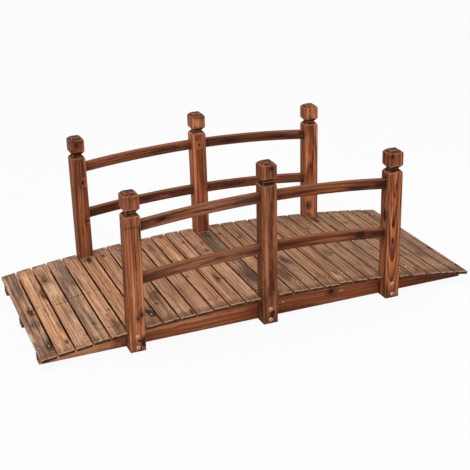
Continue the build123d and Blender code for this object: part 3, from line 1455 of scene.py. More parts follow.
def axes(along: Vector, across: Vector, origin: Vector) -> Matrix:
    """Returns the matrix from a timber's own axes to its place.

    Args:
        along: The direction of its length.
        across: The direction of its width.
        origin: Its middle.

    Returns:
        The matrix.
    """
    turn = Matrix((along, across, along.cross(across))).transposed().to_4x4()
    return Matrix.Translation(origin) @ turn


class Dice(random.Random):
    """Seeded random numbers."""

    def about(self, reach: float) -> float:
        """Returns a number between minus the reach and the reach."""
        return self.uniform(-reach, reach)

    def saw(self, look: TimberLook, aside: float, depths: Fade, slope: float) -> TimberLook:
        """Draws how a timber was sawn from its log.

        Args:
            look: What else sets the timber apart.
            aside: How far to either side the log's heart may lie.
            depths: The least and the most depth at which it may lie.
            slope: How much the grain may run aside.

        Returns:
            The look with its seed, heart and slope.
        """
        return replace(
            look, seed=self.uniform(*GRAIN_SEEDS), pith=(self.about(aside), -self.uniform(*depths)),
            slope=self.about(slope),
        )


@dataclass
class Assembly:
    """A part of the bridge, made in the workshop with its own seeded numbers."""

    shop: Workshop
    seed: int = 0

    def __post_init__(self) -> None:
        """Seeds the numbers."""
        self.dice = Dice(self.seed)


@dataclass
class Board:
    """What sets one deck board apart, with lengths in millimetres.

    The slide is towards the near side, and the trim is what the board lacks in length. A
    knot is its place along the bridge and towards the far side, and its radius. A patch is
    the same and its depth, and the line is the place of a scorched line.
    """

    slide: float = 0.0
    trim: float = 0.0
    tone: float = 0.0
    ash: float = 0.2
    scorch: float = 0.47
    knots: tuple[tuple[float, float, float], ...] = ()
    patches: tuple[tuple[float, float, float, float], ...] = ()
    burnt: float = 0.32
    line: Optional[float] = None


@dataclass
class Deck(Assembly):
    """The deck boards and their nails, laid on the arch from the left end to the right.

    A row of nails is its place across the bridge and how deep its nails may be sunk.
    """

    pitch: float = 56.4 * MM
    half_width: float = 25.0 * MM
    half_thick: float = 5.5 * MM
    radius: float = 4910.0 * MM
    crown: float = 97.0 * MM
    slack: float = 0.3 * MM
    between_posts: float = 300.0 * MM
    slide_range: float = 1.6
    skew_range: float = 0.02
    edge: float = 4.0 * MM
    cuts: int = 24
    edge_round: float = 1.3 * MM
    waver: float = 0.7 * MM

    nail_rows: tuple[tuple[float, float], ...] = (
        (278.0 * MM, 1.05 * MM), (14.0 * MM, 1.05 * MM), (-262.0 * MM, 0.5 * MM),
    )
    nail_aside: float = 16.0 * MM
    nail_stray: tuple[float, float] = (1.2 * MM, 2.6 * MM)
    nail_proud: float = 0.1 * MM
    nail: NailSizes = NailSizes(lean=0.12, uneven=0.1, seed=3)

    tone_range: float = 0.03
    pith_aside: float = 0.8
    pith_depths: tuple[float, float] = (0.018, 0.06)
    slope_range: float = 0.03
    tilt_range: float = 0.02
    figures: tuple[float, float] = (0.5, 1.1)
    warmth: float = 0.25
    ash_cooling: float = 0.8
    warmth_range: float = 0.3
    burn_inset: float = 4.0 * MM
    burn_width: float = 34.0 * MM
    line_width: float = 3.5 * MM
    line_depth: float = 0.65
    seed: int = 5
    nails: list[tuple[Vector, Vector]] = field(default_factory=list)

    def build(self) -> None:
        """Saws every board and drives the nails."""
        for number, board in BOARDS.items():
            self._board(number, board)
        places, facings = zip(*self.nails)
        self.shop.fix("deck_nails", self.shop.nail_heads, NAIL_ZINC, places, facings, self.nail)

    def _board(self, number: int, board: Board) -> None:
        """Saws one board and notes where its nails go.

        Args:
            number: The board's number from the left end.
            board: What sets it apart.
        """
        node = f"deck_board_{number:02d}"
        low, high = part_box(node)
        half_length = (high.y - low.y) / 2 - board.trim * MM / 2
        slide = board.slide * MM
        if half_length > self.between_posts:
            slide += self.dice.about(self.slide_range) * MM
        angle = (number - (len(BOARDS) + 1) / 2) * self.pitch / self.radius
        across = Vector((math.cos(angle), 0.0, -math.sin(angle)))
        up = Vector((math.sin(angle), 0.0, math.cos(angle)))
        along = Vector((0.0, -1.0, 0.0))
        rise = self.crown - self.radius * (1 - math.cos(angle))
        top = Vector((self.radius * math.sin(angle), 0.0, rise))
        centre = top - up * self.half_thick + along * slide
        holes = self._holes(slide, centre, across, up)
        look = self._look(board, half_length, holes)
        narrowed = self.slack if number in (1, len(BOARDS)) else 0.0
        half = Vector((half_length - self.slack, self.half_width - narrowed, self.half_thick - self.slack))
        self.shop.saw(
            node, half, DECK_WOOD, look, axes(along, across, centre),
            even_stations(half_length, self.edge, self.cuts),
            Round=self.edge_round, Skew=self.dice.about(self.skew_range), Waver=self.waver,
        )

    def _holes(
        self, slide: float, centre: Vector, across: Vector, up: Vector
    ) -> list[tuple[float, float]]:
        """Notes the nails of one board.

        Args:
            slide: How far the board lies towards the near side.
            centre: The board's middle.
            across: The direction of its width.
            up: The direction that its face looks.

        Returns:
            The places of the nails in the board, along and across.
        """
        holes = []
        for row, sunk in self.nail_rows:
            for aside in (-self.nail_aside, self.nail_aside):
                x, y = (at + self.dice.gauss(0.0, stray) for at, stray in zip((aside, row), self.nail_stray))
                holes.append((-y - slide, x))
                face = centre + across * x + Vector((0.0, y + slide, 0.0)) + up * self.half_thick
                self.nails.append((face + up * self.dice.uniform(-sunk, self.nail_proud), up))
        return holes

    def _look(
        self, board: Board, half_length: float, holes: Sequence[tuple[float, float]]
    ) -> TimberLook:
        """Draws the look of one board.

        Args:
            board: What sets it apart.
            half_length: Half its length.
            holes: The places of its nails.

        Returns:
            The look.
        """
        bands = [Band(half_length - self.burn_inset, self.burn_width, board.burnt)]
        if board.line is not None:
            bands.append(Band(-board.line * MM, self.line_width, self.line_depth))
        return TimberLook(
            seed=self.dice.uniform(*GRAIN_SEEDS),
            tone=board.tone + self.dice.about(self.tone_range),
            ash=board.ash,
            scorch=board.scorch,
            pith=(self.dice.about(self.pith_aside) * self.half_width, -self.dice.uniform(*self.pith_depths)),
            slope=self.dice.about(self.slope_range),
            tilt=self.dice.about(self.tilt_range),
            figure=self.dice.uniform(*self.figures),
            warmth=self.warmth - self.ash_cooling * board.ash + self.dice.about(self.warmth_range),
            knots=tuple(Knot(-y * MM, x * MM, r * MM) for x, y, r in board.knots),
            patches=tuple(Patch(-y * MM, x * MM, r * MM, depth) for x, y, r, depth in board.patches),
            bands=tuple(bands),
            nails=tuple(holes),
        )


BOARDS: dict[int, Board] = {
    1: Board(tone=-0.04, burnt=0.1, ash=0.6, scorch=0.47,
             patches=((10, -90, 20, 0.5), (12, 0, 15, 0.75), (-20, -180, 12, -0.6), (16, -270, 16, 0.7),
                      (4, 200, 16, 0.3))),
    2: Board(tone=0.12, burnt=0.1, ash=0.05, scorch=0.22,
             patches=((24, 95, 18, 0.75), (-4, 240, 22, -0.5), (20, -160, 12, 0.4), (15, -272, 8, 0.7))),
    3: Board(tone=0.06, burnt=0.1, ash=0.25, scorch=0.22, line=-8, knots=((-7, 190, 5),),
             patches=((4, 90, 26, -0.8), (-10, 215, 22, 0.45), (4, -90, 24, 0.2))),
    4: Board(tone=-0.05, burnt=0.1, ash=0.65, scorch=0.42, line=5, knots=((5, -215, 4),),
             patches=((0, -110, 22, -0.25),)),
    5: Board(tone=-0.03, burnt=0.1, ash=0.3, scorch=0.57, knots=((16, -150, 3),),
             patches=((0, 120, 16, -0.4), (10, -270, 18, 0.5))),
    6: Board(tone=0.00, burnt=0.1, ash=0.1, scorch=0.47, patches=((0, 262, 12, 0.8),)),
    7: Board(tone=-0.08, ash=0.3, scorch=0.47, patches=((0, 260, 7, 0.7), (14, -250, 16, 0.8))),
    8: Board(tone=-0.20, ash=0.25, scorch=0.62, knots=((-5, -200, 4),), patches=((0, -140, 20, 0.5),)),
    9: Board(slide=3.5, tone=-0.12, ash=0.15, scorch=0.42,
             patches=((0, -260, 16, -0.5), (20, -310, 10, 0.7))),
    10: Board(slide=3.5, tone=-0.13, ash=0.35, scorch=0.42, patches=((0, 240, 16, 0.35),)),
    11: Board(tone=-0.08, ash=0.1, scorch=0.37, knots=((7, 305, 4), (-25, 85, 4), (-24, -65, 5)),
              patches=((0, 130, 24, -0.5),)),
    12: Board(tone=-0.09, ash=0.15, scorch=0.37, knots=((10, 218, 4), (12, -128, 6)),
              patches=((10, -128, 14, 0.5),)),
    13: Board(tone=-0.09, ash=0.15, scorch=0.37, knots=((12, 185, 4), (5, 110, 6)),
              patches=((0, -70, 18, -0.4),)),
    14: Board(tone=-0.22, ash=0.9, scorch=0.72, patches=((0, 245, 22, 0.6), (0, -150, 26, 0.5))),
    15: Board(tone=-0.24, ash=0.3, scorch=0.47, knots=((-10, 235, 5),), patches=((0, -30, 18, -0.45),)),
    16: Board(tone=-0.27, ash=0.4, scorch=0.57, knots=((-12, 175, 5),), patches=((0, -200, 22, 0.4),)),
    17: Board(tone=-0.29, ash=0.4, scorch=0.62, patches=((0, -90, 18, 0.6),)),
    18: Board(tone=-0.24, ash=0.15, scorch=0.42, patches=((0, -260, 16, 0.4),)),
    19: Board(trim=12, slide=-4, tone=-0.26, ash=0.2, scorch=0.47,
              patches=((-10, -290, 16, -0.6), (0, -250, 8, 0.6))),
    20: Board(trim=12, slide=-4, tone=-0.25, ash=0.4, scorch=0.42, knots=((12, -80, 4),),
              patches=((0, -70, 14, 0.4),)),
    21: Board(trim=12, slide=-4, tone=-0.26, ash=0.3, scorch=0.42, knots=((-15, 170, 4),),
              patches=((4, -25, 10, 0.5),)),
    22: Board(tone=-0.26, ash=0.5, scorch=0.52, patches=((0, 262, 16, 0.7),)),
    23: Board(tone=-0.33, ash=0.5, scorch=0.52),
    24: Board(tone=-0.32, ash=0.3, scorch=0.47, knots=((-5, 200, 5),), patches=((12, -290, 8, 0.7),)),
    25: Board(tone=-0.32, ash=0.35, scorch=0.37, patches=((0, 230, 18, -0.35),)),
    26: Board(tone=-0.35, ash=0.6, scorch=0.47, patches=((-10, -160, 9, 0.7),)),
    27: Board(tone=-0.37, ash=0.5, scorch=0.57, patches=((15, -110, 9, 0.7), (18, -275, 10, 0.8))),
}


@dataclass
class Post:
    """One railing post: its lean at the top in millimetres, and its look."""

    side: Side
    column: Column
    lean: tuple[float, float] = (0.0, 0.0)
    look: TimberLook = TimberLook()


@dataclass
class Railings(Assembly):
    """The posts and the arched rails.

    The cut of a corner is how far from it its rounding starts. A cut at the top of a post
    is its drop from the top and its wear, which also sets a painted highlight.
    """

    LARGEST_SHARE = 0.45
    ROUNDING = (0.0, 0.25, 0.5, 0.75, 1.0)

    half_post: float = 25.5 * MM
    post_centre: float = 312.0 * MM
    spacing: float = 451.2 * MM
    heights: tuple[float, float] = (524.0 * MM, 551.0 * MM)
    finial: float = 52.0 * MM
    neck: float = 24.0 * MM
    neck_depth: float = 11.0 * MM
    bevel: float = 11.0 * MM
    bevel_rise: float = 10.0 * MM
    half_rail: tuple[float, float] = (16.5 * MM, 10.0 * MM)
    rail_radius: float = 3700.0 * MM
    crowns: dict[Level, float] = field(
        default_factory=lambda: {Level.UPPER: 434.0 * MM, Level.LOWER: 261.0 * MM}
    )
    rail_slack: float = 1.0 * MM
    rail_cuts: int = 24
    rail_edge: float = 5.0 * MM
    rail_round: float = 2.2 * MM
    rail_band: float = 4.0 * MM
    pith_aside: float = 0.02
    pith_depths: tuple[float, float] = (0.02, 0.06)
    slope_range: float = 0.03
    post_round: float = 2.4 * MM
    post_band: float = 5.0 * MM
    foot_cuts: tuple[float, ...] = (0.0, 1.0 * MM, 2.0 * MM, 3.0 * MM, 4.0 * MM)
    corner_cut: float = 3.0 * MM
    notch_cut: float = 2.0 * MM
    finial_cut: float = 2.5 * MM
    top_cuts: tuple[tuple[float, float], ...] = ((3.0 * MM, 0.0), (1.5 * MM, 0.6), (0.0, 0.0))
    nail_aside: float = 16.0 * MM
    nail: NailSizes = NailSizes(radius=2.3 * MM, height=0.5 * MM, uneven=0.1, seed=7)
    seed: int = 11

    def build(self) -> None:
        """Makes every post and rail."""
        for post in POSTS:
            self._post(post)
        for side in Side:
            for bay in (Column.LEFT, Column.RIGHT):
                for level, crown in self.crowns.items():
                    self._rail(side, bay, level, crown)
        self._rail_nails()

    def _outline(self, height: float) -> list[Station]:
        """Returns the cuts of a post, with its outline's corners rounded.

        Args:
            height: The post's height.

        Returns:
            The cuts from the foot to the top, measured from the post's middle.
        """
        foot = height - self.finial
        slim = 1 - self.neck_depth / self.half_post
        top = 1 - self.bevel / self.half_post
        corners = [
            (0.0, 1.0, 0.0),
            (foot - self.neck, 1.0, self.corner_cut),
            (foot - self.neck / 2, slim, self.notch_cut),
            (foot, 1.0, self.corner_cut),
            (height - self.bevel_rise, 1.0, self.finial_cut),
            (height, top, 0.0),
        ]
        cuts = [Station(place) for place in self.foot_cuts]
        spaces = int((foot - self.neck) / self.half_post)
        cuts += [Station(place * self.half_post) for place in range(1, spaces)]
        for before, corner, after in zip(corners, corners[1:], corners[2:]):
            cuts += self._eased(before, corner, after)
        for drop, crease in self.top_cuts:
            cuts.append(Station(height - drop, top + (1 - top) * drop / self.bevel_rise, crease))
        return [replace(cut, along=cut.along - height / 2) for cut in cuts]

    @staticmethod
    def _eased(before: Sequence[float], corner: Sequence[float], after: Sequence[float]) -> list[Station]:
        """Rounds one corner of the outline.

        Args:
            before: Height, fullness and cut of the corner below.
            corner: The same for this corner.
            after: The same for the corner above.

        Returns:
            Five cuts round the corner, the middle ones worn, which also paints a highlight there.
        """
        height, swell, cut = corner
        down = min(cut / (height - before[0]), Railings.LARGEST_SHARE)
        up = min(cut / (after[0] - height), Railings.LARGEST_SHARE)
        low = (height + (before[0] - height) * down, swell + (before[1] - swell) * down)
        high = (height + (after[0] - height) * up, swell + (after[1] - swell) * up)
        cuts = []
        for part in Railings.ROUNDING:
            weights = ((1 - part) ** 2, 2 * part * (1 - part), part ** 2)
            place, full = (
                sum(w * p for w, p in zip(weights, axis)) for axis in zip(low, (height, swell), high)
            )
            cuts.append(Station(place, full, math.sin(math.pi * part)))
        return cuts

    def _post(self, post: Post) -> None:
        """Makes one post.

        Args:
            post: Which post it is, and what sets it apart.
        """
        node = f"post_{post.side.name.lower()}_{post.column.name.lower()}"
        height = self.heights[post.column is Column.MIDDLE]
        x = self.spacing * post.column.value
        y = self.post_centre * post.side.value
        centre = Vector((x, y, height / 2))
        half = Vector((height / 2, self.half_post, self.half_post))
        lean = Matrix.Identity(4)
        lean[0][2], lean[1][2] = (part * MM / height for part in post.lean)
        foot = Matrix.Translation((x, y, 0.0))
        turn = foot @ lean @ foot.inverted() @ axes(Vector((0, 0, 1)), Vector((1, 0, 0)), centre)
        look = replace(post.look, seed=self.dice.uniform(*GRAIN_SEEDS))
        self.shop.saw(
            node, half, POST_WOOD, look, turn, self._outline(height),
            Round=self.post_round, Band=self.post_band,
        )

    def _rail(self, side: Side, bay: Column, level: Level, crown: float) -> None:
        """Makes one arched rail.

        Args:
            side: The side that it is on.
            bay: The bay that it spans.
            level: Which of the bay's two rails it is.
            crown: Height of the whole arch's middle.
        """
        node = f"rail_{side.name.lower()}_{bay.name.lower()}_{level.value}"
        low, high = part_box(node)
        middle = (low.x + high.x) / 2
        angle = math.asin(middle / self.rail_radius)
        height = crown - self.rail_radius * (1 - math.cos(angle))
        centre = Vector((middle, side.value * self.post_centre, height))
        along = Vector((math.cos(angle), 0.0, -math.sin(angle)))
        across = Vector((math.sin(angle), 0.0, math.cos(angle)))
        half_length = (high.x - low.x) / 2 / math.cos(angle) - self.rail_slack
        half = Vector((half_length, *self.half_rail))
        look = self.dice.saw(RAIL_LOOKS[node], self.pith_aside, self.pith_depths, self.slope_range)
        self.shop.saw(
            node, half, RAIL_WOOD, look, axes(along, across, centre),
            even_stations(half_length, self.rail_edge, self.rail_cuts),
            Round=self.rail_round, Band=self.rail_band, Bend=1 / self.rail_radius,
        )

    def _rail_nails(self) -> None:
        """Drives a sunk nail through each post's walk side into each rail end."""
        places, facings = [], []
        for side in Side:
            inward = Vector((0.0, -side.value, 0.0))
            face = side.value * self.post_centre - side.value * self.half_post
            for column in Column:
                for hand in (-1, 1):
                    if hand == column.value:
                        continue
                    x = column.value * self.spacing + hand * self.nail_aside
                    for crown in self.crowns.values():
                        height = crown - self.rail_radius + math.sqrt(self.rail_radius ** 2 - x ** 2)
                        places.append(Vector((x, face, height)))
                        facings.append(inward)
        self.shop.fix("rail_nails", self.shop.nail_heads, SUNK_STEEL, places, facings, self.nail)


# The first band of each post darkens the groove of its neck: painted shade
POSTS: tuple[Post, ...] = (
    Post(Side.NEAR, Column.LEFT, lean=(11, 0), look=TimberLook(
        tone=-0.06, ash=0.05, scorch=0.25, pith=(0.004, -0.045), slope=0.01, tilt=0.01, figure=0.8,
        knots=(Knot(-0.136, 0.015, 0.006), Knot(-0.148, 0.005, 0.004)),
        patches=(
            Patch(-0.05, 0.002, 0.020, -0.5, 4.0), Patch(-0.228, 0.020, 0.013, 1.0, 1.9),
            Patch(-0.224, 0.004, 0.006, 0.8, 1.2), Patch(-0.21, -0.023, 0.004, -0.9, 12.0),
            Patch(0.140, 0.022, 0.006, 0.7, 6.0), Patch(-0.02, 0.0, 0.010, 0.6, 8.0, on_flank=True),
        ),
        bands=(Band(0.199, 0.011, 0.9), Band(0.153, 0.0025, 0.6), Band(0.260, 0.007, 0.5)))),
    Post(Side.NEAR, Column.MIDDLE, lean=(4, 0), look=TimberLook(
        tone=-0.30, ash=0.1, scorch=0.5, pith=(0.01, -0.05), slope=0.03, tilt=0.02, figure=0.9,
        patches=(
            Patch(0.06, 0.003, 0.010, 0.5, 18.0), Patch(-0.13, 0.004, 0.011, 0.55, 9.0),
            Patch(0.255, 0.006, 0.010, 0.9, 1.0), Patch(-0.02, 0.021, 0.004, -0.5, 16.0),
            Patch(-0.03, -0.016, 0.007, -0.6, 20.0), Patch(-0.243, 0.006, 0.013, 0.95, 1.5),
        ),
        bands=(Band(0.2115, 0.013, 0.95), Band(0.2745, 0.006, 0.55)))),
    Post(Side.NEAR, Column.RIGHT, lean=(2, 0), look=TimberLook(
        tone=-0.08, ash=0.0, scorch=0.2, pith=(-0.004, -0.004), slope=0.02, tilt=-0.075, figure=1.45,
        warmth=0.5,
        patches=(
            Patch(0.143, 0.002, 0.006, 0.7, 4.0), Patch(0.010, -0.004, 0.007, 0.85, 3.0),
            Patch(-0.052, -0.005, 0.006, 0.8, 2.6), Patch(0.15, 0.0, 0.012, 0.9, 2.6, on_flank=True),
            Patch(0.04, -0.004, 0.012, 0.9, 3.0, on_flank=True), Patch(0.245, -0.016, 0.008, 0.8, 1.6),
        ),
        bands=(Band(0.199, 0.011, 0.97), Band(0.261, 0.006, 0.5)))),
    Post(Side.FAR, Column.LEFT, lean=(3, 0), look=TimberLook(
        tone=-0.12, ash=0.05, scorch=0.4, pith=(0.0, 0.05), slope=0.02,
        knots=(Knot(0.098, 0.008, 0.005), Knot(-0.047, 0.015, 0.004), Knot(0.235, -0.004, 0.007)),
        bands=(Band(0.199, 0.011, 0.9), Band(0.255, 0.012, 0.5)))),
    Post(Side.FAR, Column.MIDDLE, look=TimberLook(
        tone=0.42, ash=0.0, scorch=0.15, pith=(0.01, 0.04), slope=-0.02, figure=1.1,
        knots=(Knot(0.16, 0.0, 0.004),),
        patches=(Patch(-0.14, 0.0, 0.020, 0.35, 6.0), Patch(0.245, -0.006, 0.014, -0.6, 1.6)),
        bands=(Band(0.2125, 0.010, 0.9), Band(0.268, 0.010, 0.6)))),
    Post(Side.FAR, Column.RIGHT, lean=(2, 0), look=TimberLook(
        tone=0.25, ash=0.0, scorch=0.2, pith=(-0.01, 0.045), slope=0.03, tilt=0.04, figure=1.2,
        knots=(Knot(-0.137, -0.014, 0.006),),
        patches=(
            Patch(-0.22, 0.0, 0.022, 0.5, 2.0), Patch(0.05, 0.004, 0.005, 0.6, 14.0),
            Patch(0.236, 0.004, 0.024, -0.55, 1.0),
        ),
        bands=(Band(0.1985, 0.010, 0.95), Band(0.258, 0.006, 0.35)))),
)
RAIL_LOOKS: dict[str, TimberLook] = {
    "rail_near_left_upper": TimberLook(tone=-0.06, warmth=-0.5, ash=0.25, scorch=0.35, figure=0.8,
        patches=(
        Patch(-0.12, 0.006, 0.010, 0.7, 4.0), Patch(-0.19, 0.0, 0.014, 0.45, 4.0),
        Patch(0.05, 0.008, 0.007, -0.7, 14.0), Patch(0.17, 0.0, 0.016, 0.5, 5.0))),
    "rail_near_left_lower": TimberLook(tone=-0.02, warmth=-0.5, ash=0.35, scorch=0.4, figure=0.7,
        patches=(
        Patch(-0.02, 0.0, 0.010, -0.4, 10.0), Patch(-0.17, 0.0, 0.014, 0.4, 5.0),
        Patch(0.06, 0.002, 0.009, 0.6, 3.0), Patch(0.17, -0.002, 0.013, 0.45, 5.0))),
    "rail_near_right_upper": TimberLook(tone=-0.24, warmth=0.9, ash=0.0, scorch=0.4, figure=0.9,
        patches=(
        Patch(-0.12, -0.002, 0.006, 0.55, 14.0), Patch(0.0, 0.007, 0.006, -0.5, 18.0),
        Patch(0.10, -0.006, 0.008, 0.6, 7.0), Patch(0.185, 0.0, 0.014, 0.7, 2.4))),
    "rail_near_right_lower": TimberLook(tone=-0.16, warmth=1.0, ash=0.0, scorch=0.4, figure=0.8,
        patches=(
        Patch(-0.15, 0.002, 0.010, 0.5, 8.0), Patch(0.105, 0.0, 0.016, 0.8, 1.8),
        Patch(0.175, 0.0, 0.014, 0.6, 4.0), Patch(0.0, -0.006, 0.008, -0.35, 14.0))),
    "rail_far_left_upper": TimberLook(tone=-0.08, ash=0.25, scorch=0.4, figure=0.8, patches=(
        Patch(0.10, 0.0, 0.012, 0.5, 8.0), Patch(-0.12, 0.008, 0.007, -0.5, 14.0))),
    "rail_far_left_lower": TimberLook(tone=-0.14, ash=0.15, scorch=0.4, patches=(
        Patch(0.02, 0.0, 0.012, 0.5, 5.0), Patch(0.15, 0.0, 0.014, 0.45, 5.0))),
    "rail_far_right_upper": TimberLook(tone=-0.14, ash=0.1, scorch=0.45, patches=(
        Patch(-0.10, 0.0, 0.013, 0.6, 4.0), Patch(0.10, 0.002, 0.010, 0.5, 7.0))),
    "rail_far_right_lower": TimberLook(tone=-0.16, ash=0.1, scorch=0.4, patches=(
        Patch(-0.10, 0.0, 0.012, 0.5, 6.0),)),
}


@dataclass
class Stringers(Assembly):
    """The three beams that the deck lies on."""

    half_length: float = 754.0 * MM
    half_thick: float = 19.0 * MM
    crown: float = 85.9 * MM
    radius: float = 4899.0 * MM
    centre: float = 267.5 * MM
    slack: float = 0.25 * MM
    edge: float = 5.0 * MM
    cuts: int = 48
    waver: float = 0.4 * MM
    pith_aside: float = 0.03
    pith_depths: tuple[float, float] = (0.03, 0.08)
    slope_range: float = 0.02
    seed: int = 23

    def build(self) -> None:
        """Makes every stringer."""
        half = Vector((self.half_length, self.crown / 2 - self.slack, self.half_thick))
        for name, side in (("near", -1), ("middle", 0), ("far", 1)):
            place = Vector((0.0, side * self.centre, self.crown / 2))
            turn = axes(Vector((1, 0, 0)), Vector((0, 0, 1)), place)
            look = STRINGER_LOOKS.get(name, TimberLook())
            look = self.dice.saw(look, self.pith_aside, self.pith_depths, self.slope_range)
            self.shop.saw(
                f"stringer_{name}", half, BEAM_WOOD, look, turn,
                even_stations(self.half_length, self.edge, self.cuts),
                Bend=1 / self.radius, Footing=1.0, Waver=self.waver,
            )


STRINGER_LOOKS: dict[str, TimberLook] = {
    "near": TimberLook(
        tone=0.26, ash=0.05, scorch=0.1, figure=0.8, tilt=0.005, warmth=0.45,
        knots=(Knot(0.245, 0.002, 0.008),),
        patches=(
            # The pale patches at -0.66 and -0.30 make the near face paler towards its left end: painted
            # light that offsets the shade of the deck's overhang
            Patch(-0.66, -0.02, 0.040, -0.9, 5.0), Patch(0.245, 0.006, 0.013, 0.9, 0.9),
            Patch(0.282, 0.002, 0.004, -0.8, 3.5), Patch(0.66, -0.02, 0.040, 0.42, 5.0),
            Patch(-0.30, 0.004, 0.011, -0.45, 24.0), Patch(0.10, -0.03, 0.012, 0.4, 12.0),
        )),
}


@dataclass
class Hardware(Assembly):
    """The bolts through the posts' feet and the small screw in the near stringer."""

    columns: tuple[float, float, float] = (-451.2 * MM, 0.0, 451.2 * MM)
    heights: tuple[float, float] = (15.0 * MM, 52.5 * MM)
    post_face: float = 337.5 * MM
    bolt: BoltSizes = BoltSizes(seed=13)
    screw: tuple[float, float, float] = (66.4 * MM, -286.5 * MM, 41.7 * MM)
    screw_head: NailSizes = NailSizes(radius=2.8 * MM, height=1.2 * MM, seed=17)

    def build(self) -> None:
        """Sets the bolts and the screw."""
        places, facings = [], []
        for side in Side:
            for x in self.columns:
                for height in self.heights:
                    places.append(Vector((x, side.value * self.post_face, height)))
                    facings.append(Vector((0.0, side.value, 0.0)))
        bolts = self.shop.fix(
            "post_bolts_steel", self.shop.flanged_bolts, ZINC, places, facings, self.bolt
        )
        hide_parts("post_bolts")
        outward = Vector((0.0, Side.NEAR.value, 0.0))
        self.shop.fix(
            "stringer_screw", self.shop.nail_heads, NAIL_ZINC, [Vector(self.screw)], [outward],
            self.screw_head,
        )


@dataclass(frozen=True)
class PhotoCamera:
    """The camera at the photograph's viewing angle."""

    place: tuple[float, float, float] = (-1.1906, -3.0775, 1.5453)
    azimuth_deg: float = -21.40
    elevation_deg: float = 22.37
    roll_deg: float = -1.77
    lens_mm: float = 78.51
    sensor_mm: float = 36.0

    def build(self) -> None:
        """Adds the camera and makes it the scene's own."""
        azimuth, elevation, roll = (
            math.radians(a) for a in (self.azimuth_deg, self.elevation_deg, self.roll_deg)
        )
        ahead = Vector((
            -math.sin(azimuth) * math.cos(elevation),
            math.cos(azimuth) * math.cos(elevation),
            -math.sin(elevation),
        ))
        level = Vector((math.cos(azimuth), math.sin(azimuth), 0.0))
        upright = level.cross(ahead)
        right = level * math.cos(roll) + upright * math.sin(roll)
        up = upright * math.cos(roll) - level * math.sin(roll)
        data = bpy.data.cameras.new("camera")
        data.lens = self.lens_mm
        data.sensor_width = self.sensor_mm
        camera = bpy.data.objects.new("camera", data)
        turn = Matrix((right, up, -ahead)).transposed().to_4x4()
        camera.matrix_world = Matrix.Translation(self.place) @ turn
        bpy.context.scene.collection.objects.link(camera)
        bpy.context.scene.camera = camera


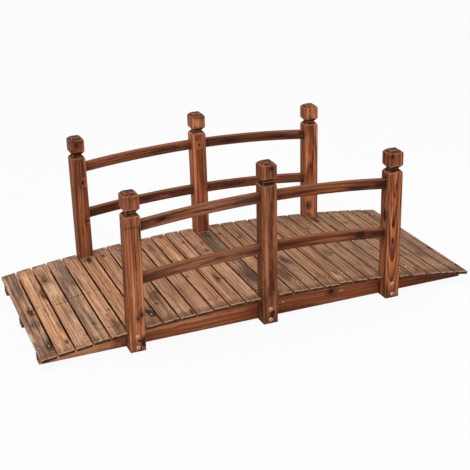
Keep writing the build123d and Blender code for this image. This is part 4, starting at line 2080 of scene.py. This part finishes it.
@dataclass
class Studio:
    """A pale floor, a white surround and soft lamps.

    The floor is painted darker under the deck and in a strip behind it, as painted shade and a painted
    shadow whose far rim follows the arch of the deck's far edge as the shadow there does.
    """

    AIM = Vector((0.0, 0.0, 0.2))

    floor_half: float = 12.0
    floor_drop: float = 0.0003
    floor_grey: float = 0.80
    floor_glow: float = 0.93
    world_grey: float = 0.55
    # Painted shade under the deck and a painted shadow in the strip behind it, in the floor's colour
    shade: Colour = linear(112, 66, 46)
    dusk: Colour = linear(170, 153, 142)
    deck_edge: float = 336.0 * MM
    deck_crown: float = 97.0 * MM
    deck_radius: float = 4910.0 * MM
    shadow_run: float = 2.3
    shadow_shift: float = 30.0 * MM
    shadow_rim: Fade = (-0.028, 0.005)
    ends: Fade = (0.70, 0.74)
    near_side: Fade = (-0.24, -0.28)
    inner_sides: Fade = (0.235, 0.26)
    lamps: tuple[tuple[str, tuple[float, float, float], float, float], ...] = (
        ("key", (-2.2, -2.6, 3.6), 2.4, 62.0),
        ("fill", (2.8, -3.4, 1.8), 2.6, 22.0),
        ("top", (0.3, 0.6, 3.8), 3.0, 42.0),
    )

    def build(self) -> None:
        """Adds the floor, the world and the lamps."""
        bpy.context.scene.view_settings.view_transform = "Standard"
        self._floor()
        self._world()
        for name, place, size, power in self.lamps:
            self._lamp(name, Vector(place), size, power)

    @staticmethod
    def _seen(g: Graph) -> Socket:
        """Finds the rays that show the background: straight, mirrored or through glass.

        Args:
            g: The graph that the answer goes into.

        Returns:
            1 for such a ray and 0 for any other.
        """
        path = g.add("ShaderNodeLightPath").outputs
        shown = g.math("MAXIMUM", path["Is Camera Ray"], path["Is Glossy Ray"])
        return g.math("MAXIMUM", shown, path["Is Transmission Ray"])

    def _floor(self) -> None:
        """Adds the floor, which looks white but keeps the bridge's shadow, with painted shade and a painted
        shadow.
        """
        mesh = bpy.data.meshes.new("studio_floor")
        span, level = self.floor_half, -self.floor_drop
        corners = [(x * span, y * span, level) for x, y in ((-1, -1), (1, -1), (1, 1), (-1, 1))]
        mesh.from_pydata(corners, [], [(0, 1, 2, 3)])
        floor = bpy.data.objects.new("studio_floor", mesh)
        bpy.context.scene.collection.objects.link(floor)
        material = bpy.data.materials.new("studio_floor")
        material.use_nodes = True
        g = Graph(material.node_tree)
        material.node_tree.nodes.clear()
        x, y, _ = g.split(g.add("ShaderNodeTexCoord").outputs["Object"])
        beyond = g.step(g.math("ABSOLUTE", x), *self.ends)
        aside = g.math("SUBTRACT", x, self.shadow_shift)
        arch = g.math("ADD", g.times(aside, aside, -0.5 / self.deck_radius), self.deck_crown)
        behind = g.math("MULTIPLY_ADD", arch, -self.shadow_run, g.math("SUBTRACT", y, self.deck_edge))
        open_floor = g.math("MAXIMUM", g.step(y, *self.near_side), g.step(behind, *self.shadow_rim))
        clear = g.math("MAXIMUM", beyond, open_floor)
        # Painted shade: the floor under the deck, between the stringers, takes the dark brown shade colour
        inner = g.math("MAXIMUM", beyond, g.step(g.math("ABSOLUTE", y), *self.inner_sides))
        # Painted shadow: in the strip behind the deck the floor takes the painted shadow colour, not the
        # pale grey
        outer = g.coat(self.dusk, (self.floor_grey,) * 3, clear)
        matt = g.fill(g.add("ShaderNodeBsdfDiffuse"), Color=g.coat(self.shade, outer, inner))
        mix = g.add("ShaderNodeMixShader")
        lit = g.times(self._seen(g), clear, self.floor_glow)
        glow = g.add("ShaderNodeEmission")
        for socket, value in zip(mix.inputs, (lit, matt.outputs[0], glow.outputs[0])):
            g.feed(socket, value)
        g.fill(g.add("ShaderNodeOutputMaterial"), Surface=mix.outputs[0])
        mesh.materials.append(material)

    def _world(self) -> None:
        """Makes the surround white where it shows and grey where it lights."""
        world = bpy.data.worlds.new("studio")
        world.use_nodes = True
        g = Graph(world.node_tree)
        shade = world.node_tree.nodes["Background"]
        grey = (self.world_grey,) * 3
        g.feed(shade.inputs["Color"], g.blend(self._seen(g), grey, (1.0, 1.0, 1.0)))
        bpy.context.scene.world = world

    @staticmethod
    def _lamp(name: str, place: Vector, size: float, power: float) -> None:
        """Adds a square lamp that faces the middle of the bridge.

        Args:
            name: The lamp's name.
            place: Where it hangs.
            size: The length of its side.
            power: Its power in watts.
        """
        data = bpy.data.lights.new(name, "AREA")
        data.shape = "SQUARE"
        data.size = size
        data.energy = power
        lamp = bpy.data.objects.new(name, data)
        lamp.location = place
        lamp.rotation_euler = (Studio.AIM - place).to_track_quat("-Z", "Y").to_euler()
        bpy.context.scene.collection.objects.link(lamp)


def main() -> None:
    """Builds the camera, the studio and every dressed piece, in that order."""
    logging.basicConfig(level=logging.INFO, format="%(name)s: %(message)s")
    PhotoCamera().build()
    Studio().build()
    shop = Workshop()
    for assembly in (Stringers, Deck, Railings, Hardware):
        assembly(shop).build()


if __name__ == "__main__":
    main()
